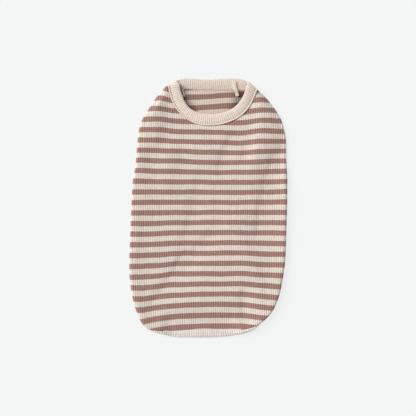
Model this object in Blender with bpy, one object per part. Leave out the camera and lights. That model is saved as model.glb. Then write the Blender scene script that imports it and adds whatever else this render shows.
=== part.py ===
"""A small dog's rib-knit vest in brown and cream stripes, laid flat with its back up.

The vest lies in the XY plane: +Y to the neck, +X to the right of somebody who looks
down on the dog's back, +Z up. Tables and named sizes are in millimetres.
"""

import math
from collections import namedtuple

import bmesh
import bpy
import numpy as np

MM = 0.001

# The vest as it lies: 158 wide over its side folds, 259 long from neck to hem.
WALL = 1.2  # one layer of rib knit
BAND = 2.5  # a binding or hem band, knit folded double
SEAM = 0.35  # room between two pieces that are sewn together
LOOSE = 0.3  # more room where a curved edge meets a straight-sided one
NECK_ROOM = 0.85  # from the neckline to the binding, whose edge turns sharply at the left
PANEL_REST = 2.85  # underside of the top layer over the lower layers
HEM_REST = 0.4  # underside of the top layer where nothing lies below it
SHOULDER_RISE = 0.5  # how much higher the top layer lies beside the neck
FOLD_DIP = 0.25  # the deepest that a soft fold sinks into the top layer
ROLL_REACH = 8.0  # how far in from a side fold the cloth still lifts towards it

RIB_PITCH = 2.25  # of the striped panels, crest to crest
RIB_RELIEF = 0.36  # crest over valley
BAND_RIB_PITCH = 1.5
BAND_RIB_RELIEF = 0.24

# One row for each section across the vest: where the two side folds lie, and the height
# of the rolled fold. The sections run from the shoulders to the hem corners.
Section = namedtuple("Section", "y left right roll")
SECTIONS = [
    Section(121.0, -43.2, 47.2, 5.2),
    Section(116.0, -47.2, 51.6, 5.3),
    Section(112.0, -51.0, 56.1, 5.4),
    Section(104.0, -56.4, 62.8, 5.6),
    Section(96.0, -61.6, 68.6, 5.8),
    Section(88.0, -66.2, 73.0, 5.8),
    Section(80.0, -68.9, 75.4, 5.7),
    Section(68.0, -70.7, 77.6, 5.6),
    Section(42.0, -72.8, 78.3, 5.4),
    Section(28.0, -75.3, 79.0, 5.3),
    Section(8.0, -76.7, 78.9, 5.2),
    Section(-22.0, -77.8, 78.0, 5.2),
    Section(-52.0, -79.0, 76.9, 5.3),
    Section(-72.0, -78.5, 74.2, 5.5),
    Section(-86.0, -76.4, 71.4, 5.6),
    Section(-98.0, -73.8, 67.0, 5.6),
    Section(-106.0, -70.6, 62.2, 5.6),
    Section(-114.0, -67.2, 54.4, 5.5),
    Section(-119.0, -63.6, 49.6, 5.4),
]

# The neck binding, station by station round the ring: the edge sewn to the panels, the
# free edge, and the height of the middle of the band at each. The near half lies on the
# back from left to right, the far half on the chest panel from right to left.
NeckStation = namedtuple("NeckStation", "sewn_x sewn_y sewn_z free_x free_y free_z")
NECK_NEAR = [
    NeckStation(-41.3, 118.2, 4.5, -29.4, 124.4, 4.5),
    NeckStation(-39.6, 115.0, 4.6, -28.1, 117.8, 4.8),
    NeckStation(-36.8, 107.5, 4.3, -26.5, 112.5, 4.7),
    NeckStation(-32.3, 100.0, 4.0, -24.0, 107.8, 4.5),
    NeckStation(-23.8, 90.7, 3.7, -18.0, 100.8, 4.3),
    NeckStation(-11.8, 84.8, 3.6, -9.3, 96.6, 4.2),
    NeckStation(0.2, 83.1, 3.6, 0.5, 95.0, 4.2),
    NeckStation(11.7, 84.2, 3.6, 9.6, 95.7, 4.2),
    NeckStation(22.7, 87.6, 3.7, 18.2, 98.4, 4.4),
    NeckStation(32.2, 93.0, 3.9, 25.2, 102.3, 4.7),
    NeckStation(39.7, 100.7, 4.2, 31.2, 108.2, 5.4),
    NeckStation(44.7, 109.5, 4.7, 35.2, 115.0, 6.4),
    NeckStation(47.0, 114.6, 5.1, 37.6, 120.4, 6.9),
    NeckStation(48.0, 116.6, 4.7, 38.8, 123.9, 6.1),
]
NECK_FAR = [
    NeckStation(48.4, 117.4, 3.3, 38.6, 126.0, 3.9),
    NeckStation(46.4, 117.3, 1.5, 36.8, 127.0, 1.6),
    NeckStation(40.0, 117.4, 1.3, 32.6, 128.3, 1.3),
    NeckStation(29.7, 117.8, 1.3, 25.7, 129.1, 1.3),
    NeckStation(13.7, 118.1, 1.3, 11.7, 128.7, 1.3),
    NeckStation(-2.3, 118.1, 1.3, -2.3, 128.4, 1.3),
    NeckStation(-16.3, 118.2, 1.3, -16.3, 129.0, 1.3),
    NeckStation(-30.3, 118.7, 1.3, -26.6, 129.3, 1.3),
    NeckStation(-40.0, 118.9, 1.4, -30.0, 128.3, 1.4),
    NeckStation(-41.8, 119.8, 2.9, -31.2, 127.3, 2.9),
]

# The seam between the back panel and the hem band, from the left hem corner to the right.
SeamPoint = namedtuple("SeamPoint", "x y")
HEM_SEAM = [
    SeamPoint(-63.8, -118.4),
    SeamPoint(-58.0, -121.2),
    SeamPoint(-45.0, -122.4),
    SeamPoint(-30.0, -122.3),
    SeamPoint(-18.0, -121.1),
    SeamPoint(-8.0, -120.2),
    SeamPoint(17.0, -121.4),
    SeamPoint(32.0, -120.4),
    SeamPoint(42.0, -118.9),
    SeamPoint(48.0, -117.2),
    SeamPoint(53.6, -114.2),
]
# The same seam under the vest, from the left corner up to the belly and down again.
BELLY_HEM = [
    SeamPoint(-63.0, -112.0),
    SeamPoint(-60.8, -104.0),
    SeamPoint(-55.5, -95.0),
    SeamPoint(-46.0, -86.5),
    SeamPoint(-30.0, -79.5),
    SeamPoint(0.0, -75.0),
    SeamPoint(28.0, -78.5),
    SeamPoint(43.0, -84.5),
    SeamPoint(50.5, -92.0),
    SeamPoint(53.6, -100.0),
    SeamPoint(53.8, -107.5),
]
# The bottom outline, which the hem band folds round at both corners.
Outline = namedtuple("Outline", "x y")
BOTTOM_OUTLINE = [
    Outline(-70.6, -106.0),
    Outline(-67.2, -114.0),
    Outline(-63.6, -119.4),
    Outline(-58.3, -123.0),
    Outline(-50.3, -126.0),
    Outline(-42.3, -128.2),
    Outline(-34.3, -129.4),
    Outline(-10.0, -129.5),
    Outline(14.0, -129.3),
    Outline(26.0, -128.0),
    Outline(36.0, -125.9),
    Outline(45.7, -122.2),
    Outline(53.7, -115.5),
    Outline(62.2, -106.0),
]
# Along the hem the band lies flat between these places and folds under past them.
HEM_FLAT_LEFT, HEM_TURNED_LEFT = -36.0, -50.0
HEM_FLAT_RIGHT, HEM_TURNED_RIGHT = 20.0, 36.0

# The hem band's section, from the sewn edge over the outer face to the free edge and back.
# flat: along the middle of the hem, reach as a share of what shows of the band. folded: at
# the corners, where it runs round the outline and under. corner: where the seam itself
# reaches the outline. under: below the belly, reach from the seam. Otherwise the reach is
# in from the outline; the heights are above the surface.
BandPoint = namedtuple(
    "BandPoint", "flat_in flat_up folded_in folded_up corner_in corner_up under_in under_up"
)
HEM_SHAPE = [
    BandPoint(1.00, 1.25, 4.0, 4.2, 0.9, 3.4, 0.90, 1.25),
    BandPoint(0.86, 2.45, 3.2, 5.3, 0.3, 3.1, 1.5, 0.0),
    BandPoint(0.40, 2.50, 1.4, 5.1, 0.0, 2.3, 3.0, 0.0),
    BandPoint(0.12, 2.10, 0.0, 2.7, 0.3, 1.0, 5.5, 0.0),
    BandPoint(0.00, 1.20, 1.4, 0.0, 1.4, 0.0, 8.3, 0.0),
    BandPoint(0.05, 0.30, 5.2, 0.6, 8.8, 0.6, 9.2, 1.1),
    BandPoint(0.16, 0.00, 4.6, 2.3, 8.2, 2.4, 8.3, 2.5),
    BandPoint(0.40, 0.00, 2.7, 2.45, 4.5, 2.5, 5.5, 2.5),
    BandPoint(0.64, 0.00, 2.4, 2.7, 2.8, 2.6, 3.0, 2.5),
    BandPoint(0.86, 0.05, 2.7, 3.0, 1.8, 3.0, 1.5, 2.5),
]
HEM_FACE = (1, 2, 3)  # rows of the shape whose ribs show from above

# Each leg hole is an ellipse on the underside, bound with the same folded rib.
LEG_CENTRE_X, LEG_CENTRE_Y = 46.0, 58.0
LEG_HALF_WIDTH, LEG_HALF_LENGTH = 19.0, 33.0  # to the sewn edge of the binding
LEG_BINDING_WIDTH = 8.0
LEG_BINDING_HEIGHT = 2.2
LEG_BINDING_PARTS = 44  # stretches round the hole
HOLE_ROOM = 0.8  # the panels' straight stretches stay this clear of the round seam
SIDE_SEAM_X = 46.0  # under the vest, below the leg holes

# The edge of the back panel under the vest, left and right, where no leg hole cuts it.
Underside = namedtuple("Underside", "y left right")
SHOULDER_SEAMS = [
    Underside(121.0, -36.6, 40.6),
    Underside(112.0, -43.8, 48.6),
    Underside(104.0, -49.0, 55.2),
    Underside(96.0, -51.4, 57.2),
    Underside(91.0, -52.2, 57.0),
]

# Soft folds of the top layer: from one end to the other, how wide and how high.
Fold = namedtuple("Fold", "x0 y0 x1 y1 width height")
FOLDS = [
    Fold(47.0, 88.0, 37.0, 38.0, 7.0, 0.75),
    Fold(64.0, 92.0, 50.0, -6.0, 7.0, -0.55),
    Fold(50.0, -6.0, 48.0, -36.0, 8.0, -0.4),
    Fold(14.0, 62.0, -17.0, 6.0, 8.0, -0.5),
    Fold(-17.0, 6.0, -46.0, -78.0, 9.0, -0.6),
    Fold(-34.0, 66.0, -48.0, -20.0, 13.0, 0.55),
    Fold(8.0, 22.0, 4.0, -14.0, 7.0, -0.35),
    Fold(24.0, 30.0, 6.0, -70.0, 14.0, 0.5),
    Fold(30.0, -80.0, 30.0, -114.0, 4.0, -0.35),
    Fold(44.0, -84.0, 45.0, -102.0, 4.5, 0.4),
    Fold(-60.0, 84.0, -64.0, 40.0, 6.0, 0.5),
]

BROWN = (0.342, 0.212, 0.181, 1.0)
CREAM = (0.737, 0.658, 0.604, 1.0)
PALE_CREAM = (0.708, 0.617, 0.546, 1.0)


# ---- curves through table rows --------------------------------------------------


def column(table, name):
    return np.array([getattr(row, name) for row in table], float)


def along(knots, values, at):
    """A cubic through the values that adds no overshoot between two knots."""
    knots, values = np.asarray(knots, float), np.asarray(values, float)
    if knots[0] > knots[-1]:
        knots, values = knots[::-1], values[::-1]
    step = np.diff(knots)
    slope = np.diff(values) / step
    inner = slope[:-1] * slope[1:]
    weighted = 3 * (step[:-1] + step[1:]) / (
        (2 * step[1:] + step[:-1]) / np.where(inner > 0, slope[:-1], 1.0)
        + (step[1:] + 2 * step[:-1]) / np.where(inner > 0, slope[1:], 1.0)
    )
    tangent = np.concatenate([[slope[0]], np.where(inner > 0, weighted, 0.0), [slope[-1]]])
    at = np.clip(np.asarray(at, float), knots[0], knots[-1])
    i = np.clip(np.searchsorted(knots, at) - 1, 0, len(step) - 1)
    t = (at - knots[i]) / step[i]
    return (
        (1 + 2 * t) * (1 - t) ** 2 * values[i]
        + t * (1 - t) ** 2 * step[i] * tangent[i]
        + t * t * (3 - 2 * t) * values[i + 1]
        + t * t * (t - 1) * step[i] * tangent[i + 1]
    )


def path_through(points, spacing, closed=False):
    """Evenly spaced points of a smooth curve through the given ones, in any dimension."""
    points = np.asarray(points, float)
    if closed:
        points = np.concatenate([points, points[:1]])
    chord = np.concatenate([[0], np.cumsum(np.linalg.norm(np.diff(points, axis=0), axis=1))])
    count = max(2, round(chord[-1] / spacing))
    at = np.linspace(0, chord[-1], count + 1)
    if closed:
        at = at[:-1]
        points = np.concatenate([points[-3:-1], points, points[1:3]])
        gaps = np.diff(chord)
        ends = [-gaps[-1] - gaps[-2], -gaps[-1]]
        chord = np.concatenate([ends, chord, chord[-1] + np.cumsum(gaps[:2])])
    return np.stack([catmull_rom(chord, axis, at) for axis in points.T], 1)


def catmull_rom(knots, values, at):
    tangent = np.gradient(values, knots)
    i = np.clip(np.searchsorted(knots, at, side="right") - 1, 0, len(knots) - 2)
    step = knots[i + 1] - knots[i]
    t = (at - knots[i]) / step
    return (
        (1 + 2 * t) * (1 - t) ** 2 * values[i]
        + t * (1 - t) ** 2 * step * tangent[i]
        + t * t * (3 - 2 * t) * values[i + 1]
        + t * t * (t - 1) * step * tangent[i + 1]
    )


def smoothstep(low, high, value):
    t = np.clip((np.asarray(value, float) - low) / (high - low), 0, 1)
    return t * t * (3 - 2 * t)


# ---- the lie of the cloth -------------------------------------------------------


def fold_left(y):
    return along(column(SECTIONS, "y"), column(SECTIONS, "left"), y)


def fold_right(y):
    return along(column(SECTIONS, "y"), column(SECTIONS, "right"), y)


def roll_height(y):
    return along(column(SECTIONS, "y"), column(SECTIONS, "roll"), y)


def fold_relief(x, y):
    """How far the soft folds lift the top layer at a point."""
    total = 0.0
    for fold in FOLDS:
        span = np.array([fold.x1 - fold.x0, fold.y1 - fold.y0])
        length = np.hypot(*span)
        ahead = ((x - fold.x0) * span[0] + (y - fold.y0) * span[1]) / length**2
        aside = ((x - fold.x0) * span[1] - (y - fold.y0) * span[0]) / length
        past = np.maximum(np.abs(ahead - 0.5) - 0.5, 0) * length
        reach = (aside / fold.width) ** 2 + (past / (1.5 * fold.width)) ** 2
        total = total + fold.height * np.exp(-reach)
    return total


HEM_SAG_TOP, HEM_SAG_FOOT = -94.0, -117.0  # where the top layer sinks to the surface
SHOULDER_FOOT, SHOULDER_TOP = 70.0, 110.0  # where it rises beside the neck


def hem_turned(x):
    """0 where the hem lies flat on the surface, 1 at the corners where it folds under."""
    left = smoothstep(HEM_FLAT_LEFT, HEM_TURNED_LEFT, x)
    return left + smoothstep(HEM_FLAT_RIGHT, HEM_TURNED_RIGHT, x)


def top_height(x, y):
    """Outer face of the top layer, without its ribs."""
    lowered = smoothstep(HEM_SAG_TOP, HEM_SAG_FOOT, y) * (1 - hem_turned(x))
    rest = PANEL_REST + (HEM_REST - PANEL_REST) * lowered
    shoulder = SHOULDER_RISE * smoothstep(SHOULDER_FOOT, SHOULDER_TOP, y)
    folds = np.maximum(fold_relief(x, y) * (1 - lowered), -FOLD_DIP)
    flat = rest + WALL + shoulder + FOLD_DIP + folds
    inside = np.minimum(x - fold_left(y), fold_right(y) - x)
    roll = roll_height(y)
    near_fold = np.exp(-((np.maximum(inside - roll / 2, 0) / ROLL_REACH) ** 2))
    return flat + (roll - flat) * near_fold


# ---- meshes ---------------------------------------------------------------------


def cloth_material(name, colour):
    material = bpy.data.materials.new(name)
    material.use_nodes = True
    shader = material.node_tree.nodes["Principled BSDF"]
    shader.inputs["Base Color"].default_value = colour
    shader.inputs["Roughness"].default_value = 0.9
    shader.inputs["Metallic"].default_value = 0.0
    return material


def add_piece(name, points, faces, material):
    """A named object of the vest from points in millimetres, its faces turned outwards."""
    mesh = bpy.data.meshes.new(name)
    mesh.from_pydata([tuple(p) for p in np.asarray(points) * MM], [], faces)
    work = bmesh.new()
    work.from_mesh(mesh)
    bmesh.ops.recalc_face_normals(work, faces=work.faces)
    bmesh.ops.triangulate(work, faces=work.faces)
    if work.calc_volume(signed=True) < 0:
        bmesh.ops.reverse_faces(work, faces=work.faces)
    work.to_mesh(mesh)
    work.free()
    mesh.materials.append(material)
    mesh.shade_smooth()
    mesh.set_sharp_from_angle(angle=math.radians(50))
    piece = bpy.data.objects.new(name, mesh)
    VEST.objects.link(piece)
    return piece


def strip_between(first, second):
    """Triangles that join two rows of vertices, which may differ in number."""
    faces = []
    i = j = 0
    while i < len(first) - 1 or j < len(second) - 1:
        ahead_first = (i + 1) / (len(first) - 1)
        ahead_second = (j + 1) / (len(second) - 1)
        if j == len(second) - 1 or (i < len(first) - 1 and ahead_first <= ahead_second):
            faces.append((first[i], first[i + 1], second[j]))
            i += 1
        else:
            faces.append((first[i], second[j + 1], second[j]))
            j += 1
    return faces


def add_sheet(name, outer, inner, material):
    """A wall of cloth from two grids of points with the same rows: its outer face and
    its inner one, which may be coarser, closed all round the rim."""
    rows, outer_columns = outer.shape[:2]
    inner_columns = inner.shape[1]
    outer_id = np.arange(rows * outer_columns).reshape(rows, outer_columns)
    inner_id = np.arange(rows * inner_columns).reshape(rows, inner_columns) + outer_id.size
    faces = []
    for ids in (outer_id, inner_id[:, ::-1]):
        for r in range(rows - 1):
            for c in range(ids.shape[1] - 1):
                faces.append((ids[r, c], ids[r + 1, c], ids[r + 1, c + 1], ids[r, c + 1]))
    for edge in (0, -1):
        faces += strip_between(list(outer_id[edge]), list(inner_id[edge]))
        faces += strip_between(list(outer_id[:, edge]), list(inner_id[:, edge]))
    points = np.concatenate([outer.reshape(-1, 3), inner.reshape(-1, 3)])
    return add_piece(name, points, [tuple(int(v) for v in face) for face in faces], material)


def add_loft(name, sections, material, closed):
    """A skin through sections of equal count, round a ring or capped at both ends."""
    sections = np.asarray(sections)
    count, around = sections.shape[:2]
    ids = np.arange(count * around).reshape(count, around)
    faces = []
    for s in range(count if closed else count - 1):
        here, there = ids[s], ids[(s + 1) % count]
        for p in range(around):
            q = (p + 1) % around
            faces.append((here[p], here[q], there[q], there[p]))
    if not closed:
        faces += [tuple(ids[0][::-1]), tuple(ids[-1])]
    faces = [tuple(int(v) for v in face) for face in faces]
    return add_piece(name, sections.reshape(-1, 3), faces, material)


# ---- the back panel -------------------------------------------------------------

YOKE_BASE = 72.0  # the sections are level from here down to the hem corners
HEM_BASE = -95.0
YOKE_ROWS = [0.0, 0.12, 0.28, 0.46, 0.64, 0.82, 1.0]
LEVEL_ROWS = [56.0, 42.0, 25.0, 5.0, -17.0, -40.0, -60.0, -78.0]
HEM_ROWS = [0.0, 0.3, 0.58, 0.8, 1.0]
TIP_LEFT, TIP_RIGHT = 118.5, 116.2  # top of the side folds, beside the neck binding
FLAP_TIP_LEFT, FLAP_TIP_RIGHT = 117.4, 115.8  # the same under the vest
FLAT_WIDTH = 150.0  # of the top layer between its side folds, which sets the ribs' number
FOLD_STEPS = 6  # columns round each side fold
LINING_COLUMNS, LINING_FOLD_STEPS = 24, 3  # the same for the plain face inside
# The same rows along the edge under the vest, closer together round the leg hole.
FLAP_YOKE = [0.0, 0.2, 0.4, 0.54, 0.575, 0.72, 0.9]
FLAP_LEVELS = [62.0, 46.0, 34.0, 27.5, 24.0, -20.0, -56.0, -85.5]


def share_across(x, y):
    """0 on the left edge of the top layer's flat part, 1 on the right edge."""
    left = fold_left(y) + roll_height(y) / 2
    right = fold_right(y) - roll_height(y) / 2
    return (x - left) / (right - left)


def from_share(share, y):
    left = fold_left(y) + roll_height(y) / 2
    right = fold_right(y) - roll_height(y) / 2
    return left + share * (right - left)


def edge_heights(share, edge):
    """Where a column at this share of the width meets an edge curve that runs from left to
    right, or where it last does if it meets it more than once."""
    at = share_across(edge[:, 0], edge[:, 1])
    lowest = int(np.argmin(edge[:, 1]))
    least_ahead = np.minimum.accumulate(at[::-1])[::-1]
    most_behind = np.maximum.accumulate(at)
    keep = np.ones(len(at), bool)
    keep[:lowest] = at[:lowest] < least_ahead[1 : lowest + 1] - 1e-6
    keep[lowest + 1 :] = at[lowest + 1 :] > most_behind[lowest:-1] + 1e-6
    return np.interp(share, at[keep], edge[keep, 1])


def neck_line():
    """The binding's two edges all round the ring, six numbers to a point."""
    stations = NECK_NEAR + NECK_FAR
    rows = [(s.sewn_x, s.sewn_y, s.sewn_z, s.free_x, s.free_y, s.free_z) for s in stations]
    return path_through(rows, 1.0, closed=True)


def neck_edge():
    """The back panel's neckline, just outside the near half of the binding."""
    line = neck_line()
    near = int(np.argmax(line[:, 2] < NECK_FAR[0].sewn_z + 0.2))
    edge = line[:near, :2]
    return edge + NECK_ROOM * sideways(edge, -1)


def sideways(path, side):
    """Unit vectors across a path in the plane, to its left for side 1."""
    run = np.gradient(path, axis=0)
    run /= np.linalg.norm(run, axis=1, keepdims=True)
    return side * np.stack([-run[:, 1], run[:, 0]], 1)


def hem_edge():
    return path_through([(p.x, p.y) for p in HEM_SEAM], 2.0)


def belly_hem_path(spacing):
    return path_through([(p.x, p.y) for p in BELLY_HEM], spacing)


def level(top, bottom, yoke_rows=YOKE_ROWS, level_rows=LEVEL_ROWS):
    """Heights of one column, from its top end through the sections to its bottom end."""
    yoke = [top + share * (YOKE_BASE - top) for share in yoke_rows]
    hem = [HEM_BASE + share * (bottom - HEM_BASE) for share in HEM_ROWS]
    return np.array(yoke + level_rows + hem)


def leg_hole_reach(y, margin):
    """Half the width of a leg hole's sewn edge at a height, or 0 past its ends."""
    ahead = (np.asarray(y, float) - LEG_CENTRE_Y) / (LEG_HALF_LENGTH + margin)
    return (LEG_HALF_WIDTH + margin) * np.sqrt(np.maximum(1 - ahead**2, 0))


def under_edge(y, side):
    """How far from the middle the back panel ends under the vest: at the shoulder seam,
    the leg hole, the side seam and the hem, one after the other."""
    y = np.asarray(y, float)
    name = "left" if side < 0 else "right"
    shoulder = np.abs(along(column(SHOULDER_SEAMS, "y"), column(SHOULDER_SEAMS, name), y))
    leg = LEG_CENTRE_X + leg_hole_reach(y, HOLE_ROOM)
    corner = [p for p in BELLY_HEM if p.x * side > SIDE_SEAM_X - 4.0]
    corner.sort(key=lambda p: p.y)
    hem = np.interp(y, [p.y for p in corner], [abs(p.x) for p in corner])
    leg_top = LEG_CENTRE_Y + LEG_HALF_LENGTH + HOLE_ROOM
    leg_foot = LEG_CENTRE_Y - LEG_HALF_LENGTH - HOLE_ROOM
    hem_top = max(p.y for p in corner)
    edge = np.where(y > leg_top, shoulder, np.where(y > leg_foot, leg, SIDE_SEAM_X))
    return np.where(y < hem_top, np.maximum(hem, SIDE_SEAM_X), edge)


def side_columns(side, steps, inset, rib):
    """Columns of one side of the back panel, from its edge under the vest round the fold
    to the flat top. inset is how far the face lies inside the wall's outer face."""
    tip = TIP_LEFT if side < 0 else TIP_RIGHT
    flap_tip = FLAP_TIP_LEFT if side < 0 else FLAP_TIP_RIGHT
    corner = HEM_SEAM[0] if side < 0 else HEM_SEAM[-1]
    flap_foot = BELLY_HEM[0].y if side < 0 else BELLY_HEM[-1].y
    fold = fold_left if side < 0 else fold_right
    columns = []
    under = level(flap_tip, flap_foot, FLAP_YOKE, FLAP_LEVELS)
    over = level(tip, corner.y)
    for share in (0.0, 0.5):
        y = under
        arc_start = np.abs(fold(y)) - roll_height(y) / 2
        edge = np.minimum(under_edge(y, side), arc_start - 0.6)
        x = edge + share * (arc_start - edge)
        columns.append(np.stack([side * x, y, np.full_like(y, inset)], 1))
    for step in range(steps):
        turn = step / steps
        y = under + turn * (over - under)
        radius = roll_height(y) / 2
        lift = rib * (0.5 if step % 2 else -0.5) * smoothstep(0.2, 0.6, turn)
        angle = math.pi * (turn - 0.5)
        reach = (radius - inset + lift) * math.cos(angle)
        x = np.abs(fold(y)) - radius + reach
        z = radius + (radius - inset + lift) * math.sin(angle)
        columns.append(np.stack([side * x, y, z], 1))
    return columns


def top_columns(count, inset, rib):
    """Columns across the flat top, from one side fold to the other."""
    shares = np.linspace(0, 1, count + 1)
    tops = edge_heights(shares, neck_edge())
    tops[0], tops[-1] = TIP_LEFT, TIP_RIGHT
    feet = edge_heights(shares, hem_edge())
    columns = []
    for i, share in enumerate(shares):
        y = level(tops[i], feet[i])
        x = from_share(share, y)
        z = top_height(x, y) - inset + rib * (0.5 if i % 2 else -0.5)
        columns.append(np.stack([x, y, z], 1))
    return columns


def back_panel_face(inset, count, steps, rib):
    """One face of the back panel's wall, from its left edge under the vest to its right."""
    left = side_columns(-1, steps, inset, rib)
    right = side_columns(1, steps, inset, rib)
    return np.stack(left + top_columns(count, inset, rib) + right[::-1], 1)


def build_back_panel():
    outer = back_panel_face(0.0, 2 * round(FLAT_WIDTH / RIB_PITCH), FOLD_STEPS, RIB_RELIEF)
    inner = back_panel_face(WALL, LINING_COLUMNS, LINING_FOLD_STEPS, 0.0)
    return add_sheet("back_panel", outer, inner, cloth_material("striped_rib_knit", BROWN))


# ---- the belly panel ------------------------------------------------------------

BELLY_LEVELS = [112.0, 104.0, 96.0, 91.6, 90.8, 88.0, 80.0, 70.0, 58.0, 46.0, 36.0, 28.0]
BELLY_LEVELS += [25.2, 24.4, 0.0, -30.0, -60.0]
BELLY_COLUMNS = 14
BELLY_TOP, BELLY_FOOT = 118.3, -84.0  # where its sides end, at the neck and at the hem
BELLY_SIDE_ROOM = 1.0  # from its sides to the back panel's edges


def belly_side(y, side):
    """The side of the belly panel, which meets the back panel under the vest."""
    y = np.asarray(y, float)
    beside_hole = LEG_CENTRE_X - leg_hole_reach(y, HOLE_ROOM)
    in_hole = np.abs(y - LEG_CENTRE_Y) < LEG_HALF_LENGTH + HOLE_ROOM
    return side * np.where(in_hole, beside_hole, under_edge(y, side) - BELLY_SIDE_ROOM)


def build_belly_panel():
    """The lower layer, flat on the surface from the far half of the neck to its hem."""
    far_neck = sorted((s.sewn_x, s.sewn_y) for s in NECK_FAR if abs(s.sewn_x) < SIDE_SEAM_X)
    hem = belly_hem_path(1.5)
    heights = [BELLY_TOP] + BELLY_LEVELS + [BELLY_FOOT]
    shares = np.linspace(0, 1, BELLY_COLUMNS + 1)
    rows = []
    for y in heights:
        left, right = belly_side(y, -1), belly_side(y, 1)
        x = left + shares * (right - left)
        rows.append(np.stack([x, np.full_like(x, y), np.zeros_like(x)], 1))
    under = np.stack(rows)
    under[0, :, 1] = np.interp(under[0, :, 0], *zip(*far_neck)) - SEAM - LOOSE
    under[-1, :, 1] = np.interp(under[-1, :, 0], hem[:, 0], hem[:, 1])
    upper = under + np.array([0.0, 0.0, WALL])
    return add_sheet("belly_panel", upper, under, cloth_material("striped_inside", BROWN))


# ---- bindings and bands ---------------------------------------------------------


def band_profile(across, lift, crest):
    """Points round a folded band's section, from the sewn edge over its outer face to the
    free edge and back inside. across is its middle line and lift its outer direction.
    A rib stands out only where a face looks up; underneath, the band lies flat."""
    outer, inner = [], []
    for point, out in zip(across[1:-1], lift[1:-1]):
        outer.append(point + out * (BAND / 2 + crest * float(smoothstep(-0.2, 0.4, out[2]))))
        inner.append(point - out * (BAND / 2 + crest * float(smoothstep(-0.2, 0.4, -out[2]))))
    section = np.array([across[0]] + outer + [across[-1]] + inner[::-1])
    section[:, 2] = np.maximum(section[:, 2], 0.0)
    return section


NECK_SHARES = (0.0, 0.1, 0.5, 0.9, 1.0)  # points across the neck binding


def build_neck_binding():
    line = neck_line()
    middle = (line[:, :3] + line[:, 3:]) / 2
    travel = np.linalg.norm(np.roll(middle, -1, axis=0) - middle, axis=1).sum()
    count = 2 * round(travel / BAND_RIB_PITCH)
    line = evenly_round(line, count)
    sewn, free = line[:, :3], line[:, 3:]
    middle = (sewn + free) / 2
    run = np.roll(middle, -1, axis=0) - np.roll(middle, 1, axis=0)
    width = free - sewn
    normal = np.cross(run, width)
    normal /= np.linalg.norm(normal, axis=1, keepdims=True)
    sections = []
    for i in range(count):
        crest = BAND_RIB_RELIEF * (0.5 if i % 2 else -0.5)
        across = [sewn[i] + share * width[i] for share in NECK_SHARES]
        sections.append(band_profile(across, [normal[i]] * len(across), crest))
    material = cloth_material("cream_neck_rib", CREAM)
    return add_loft("neck_binding", sections, material, closed=True)


def evenly_round(line, count):
    """A closed line of points again, spaced evenly along its middle."""
    half = line.shape[1] // 2
    middle = (line[:, :half] + line[:, half:]) / 2
    gaps = np.linalg.norm(np.roll(middle, -1, axis=0) - middle, axis=1)
    travelled = np.concatenate([[0], np.cumsum(gaps)])
    at = np.linspace(0, travelled[-1], count + 1)[:-1]
    looped = np.concatenate([line, line[:1]])
    return np.stack([np.interp(at, travelled, axis) for axis in looped.T], 1)


# The closing seam of the neck binding, from the outline down into the neck.
TailPoint = namedtuple("TailPoint", "x y z")
SEAM_TAIL = [
    TailPoint(25.9, 126.6, 3.7),
    TailPoint(25.9, 121.3, 3.7),
    TailPoint(26.7, 118.6, 3.6),
    TailPoint(27.5, 116.4, 3.1),
    TailPoint(28.4, 114.0, 2.4),
    TailPoint(29.2, 112.2, 2.1),
]
TAIL_WIDTH, TAIL_HEIGHT = 3.2, 1.1
TAIL_BEVEL = 0.6  # where the section's corners are cut, as a share of half its size


def build_neck_seam_tail():
    """The serged end of the binding's closing seam, inside the neck at the right."""
    path = path_through([tuple(point) for point in SEAM_TAIL], 1.4)
    cut = TAIL_BEVEL
    corners = [(-1, -cut), (-cut, -1), (cut, -1), (1, -cut), (1, cut), (cut, 1), (-cut, 1), (-1, cut)]
    sections = []
    for (x, y, z), side in zip(path, sideways(path[:, :2], 1)):
        section = []
        for aside, above in corners:
            out_x, out_y = side * aside * TAIL_WIDTH / 2
            section.append((x + out_x, y + out_y, z + above * TAIL_HEIGHT / 2))
        sections.append(section)
    material = cloth_material("serged_cream", CREAM)
    return add_loft("neck_seam_tail", sections, material, closed=False)


def hem_section(edge, inward, visible, turned, crest):
    """The hem band's section at an outline point, on the back's side of the vest."""
    corner = float(smoothstep(3.2, 1.0, visible))
    section = []
    for i, shape in enumerate(HEM_SHAPE):
        folded_in = visible if i == 0 else shape.folded_in
        if shape.folded_up < BAND and shape.folded_in > 4.0:  # the part that went under
            folded_in = shape.folded_in + (4.0 - visible)
        reach = folded_in + corner * (shape.corner_in - folded_in)
        height = shape.folded_up + corner * (shape.corner_up - shape.folded_up)
        reach = shape.flat_in * visible + turned * (reach - shape.flat_in * visible)
        height = shape.flat_up + turned * (height - shape.flat_up)
        if i in HEM_FACE:
            height += crest
        x, y = edge + inward * reach
        section.append((x, y, height))
    return section


def build_hem_band():
    outline = path_through([(p.x, p.y) for p in BOTTOM_OUTLINE], 0.5)
    inwards = sideways(outline, 1)
    seam = path_through([(p.x, p.y) for p in HEM_SEAM], BAND_RIB_PITCH / 2)
    seam = seam[2:-2] + (SEAM + LOOSE / 2) * sideways(seam, -1)[2:-2]
    sections = []
    for i, (x, y) in enumerate(seam):
        distance = np.hypot(outline[:, 0] - x, outline[:, 1] - y)
        near = int(np.argmin(distance))
        crest = BAND_RIB_RELIEF * (0.5 if i % 2 else -0.5)
        turned = float(hem_turned(x))
        sections.append(hem_section(outline[near], inwards[near], distance[near], turned, crest))
    under = belly_hem_path(6.0)[::-1]
    for (x, y), side in zip(under, sideways(under, 1)):
        sections.append(
            [(x + side[0] * s.under_in, y + side[1] * s.under_in, s.under_up) for s in HEM_SHAPE]
        )
    material = cloth_material("cream_hem_rib", CREAM)
    return add_loft("hem_band", sections, material, closed=True)


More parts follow.
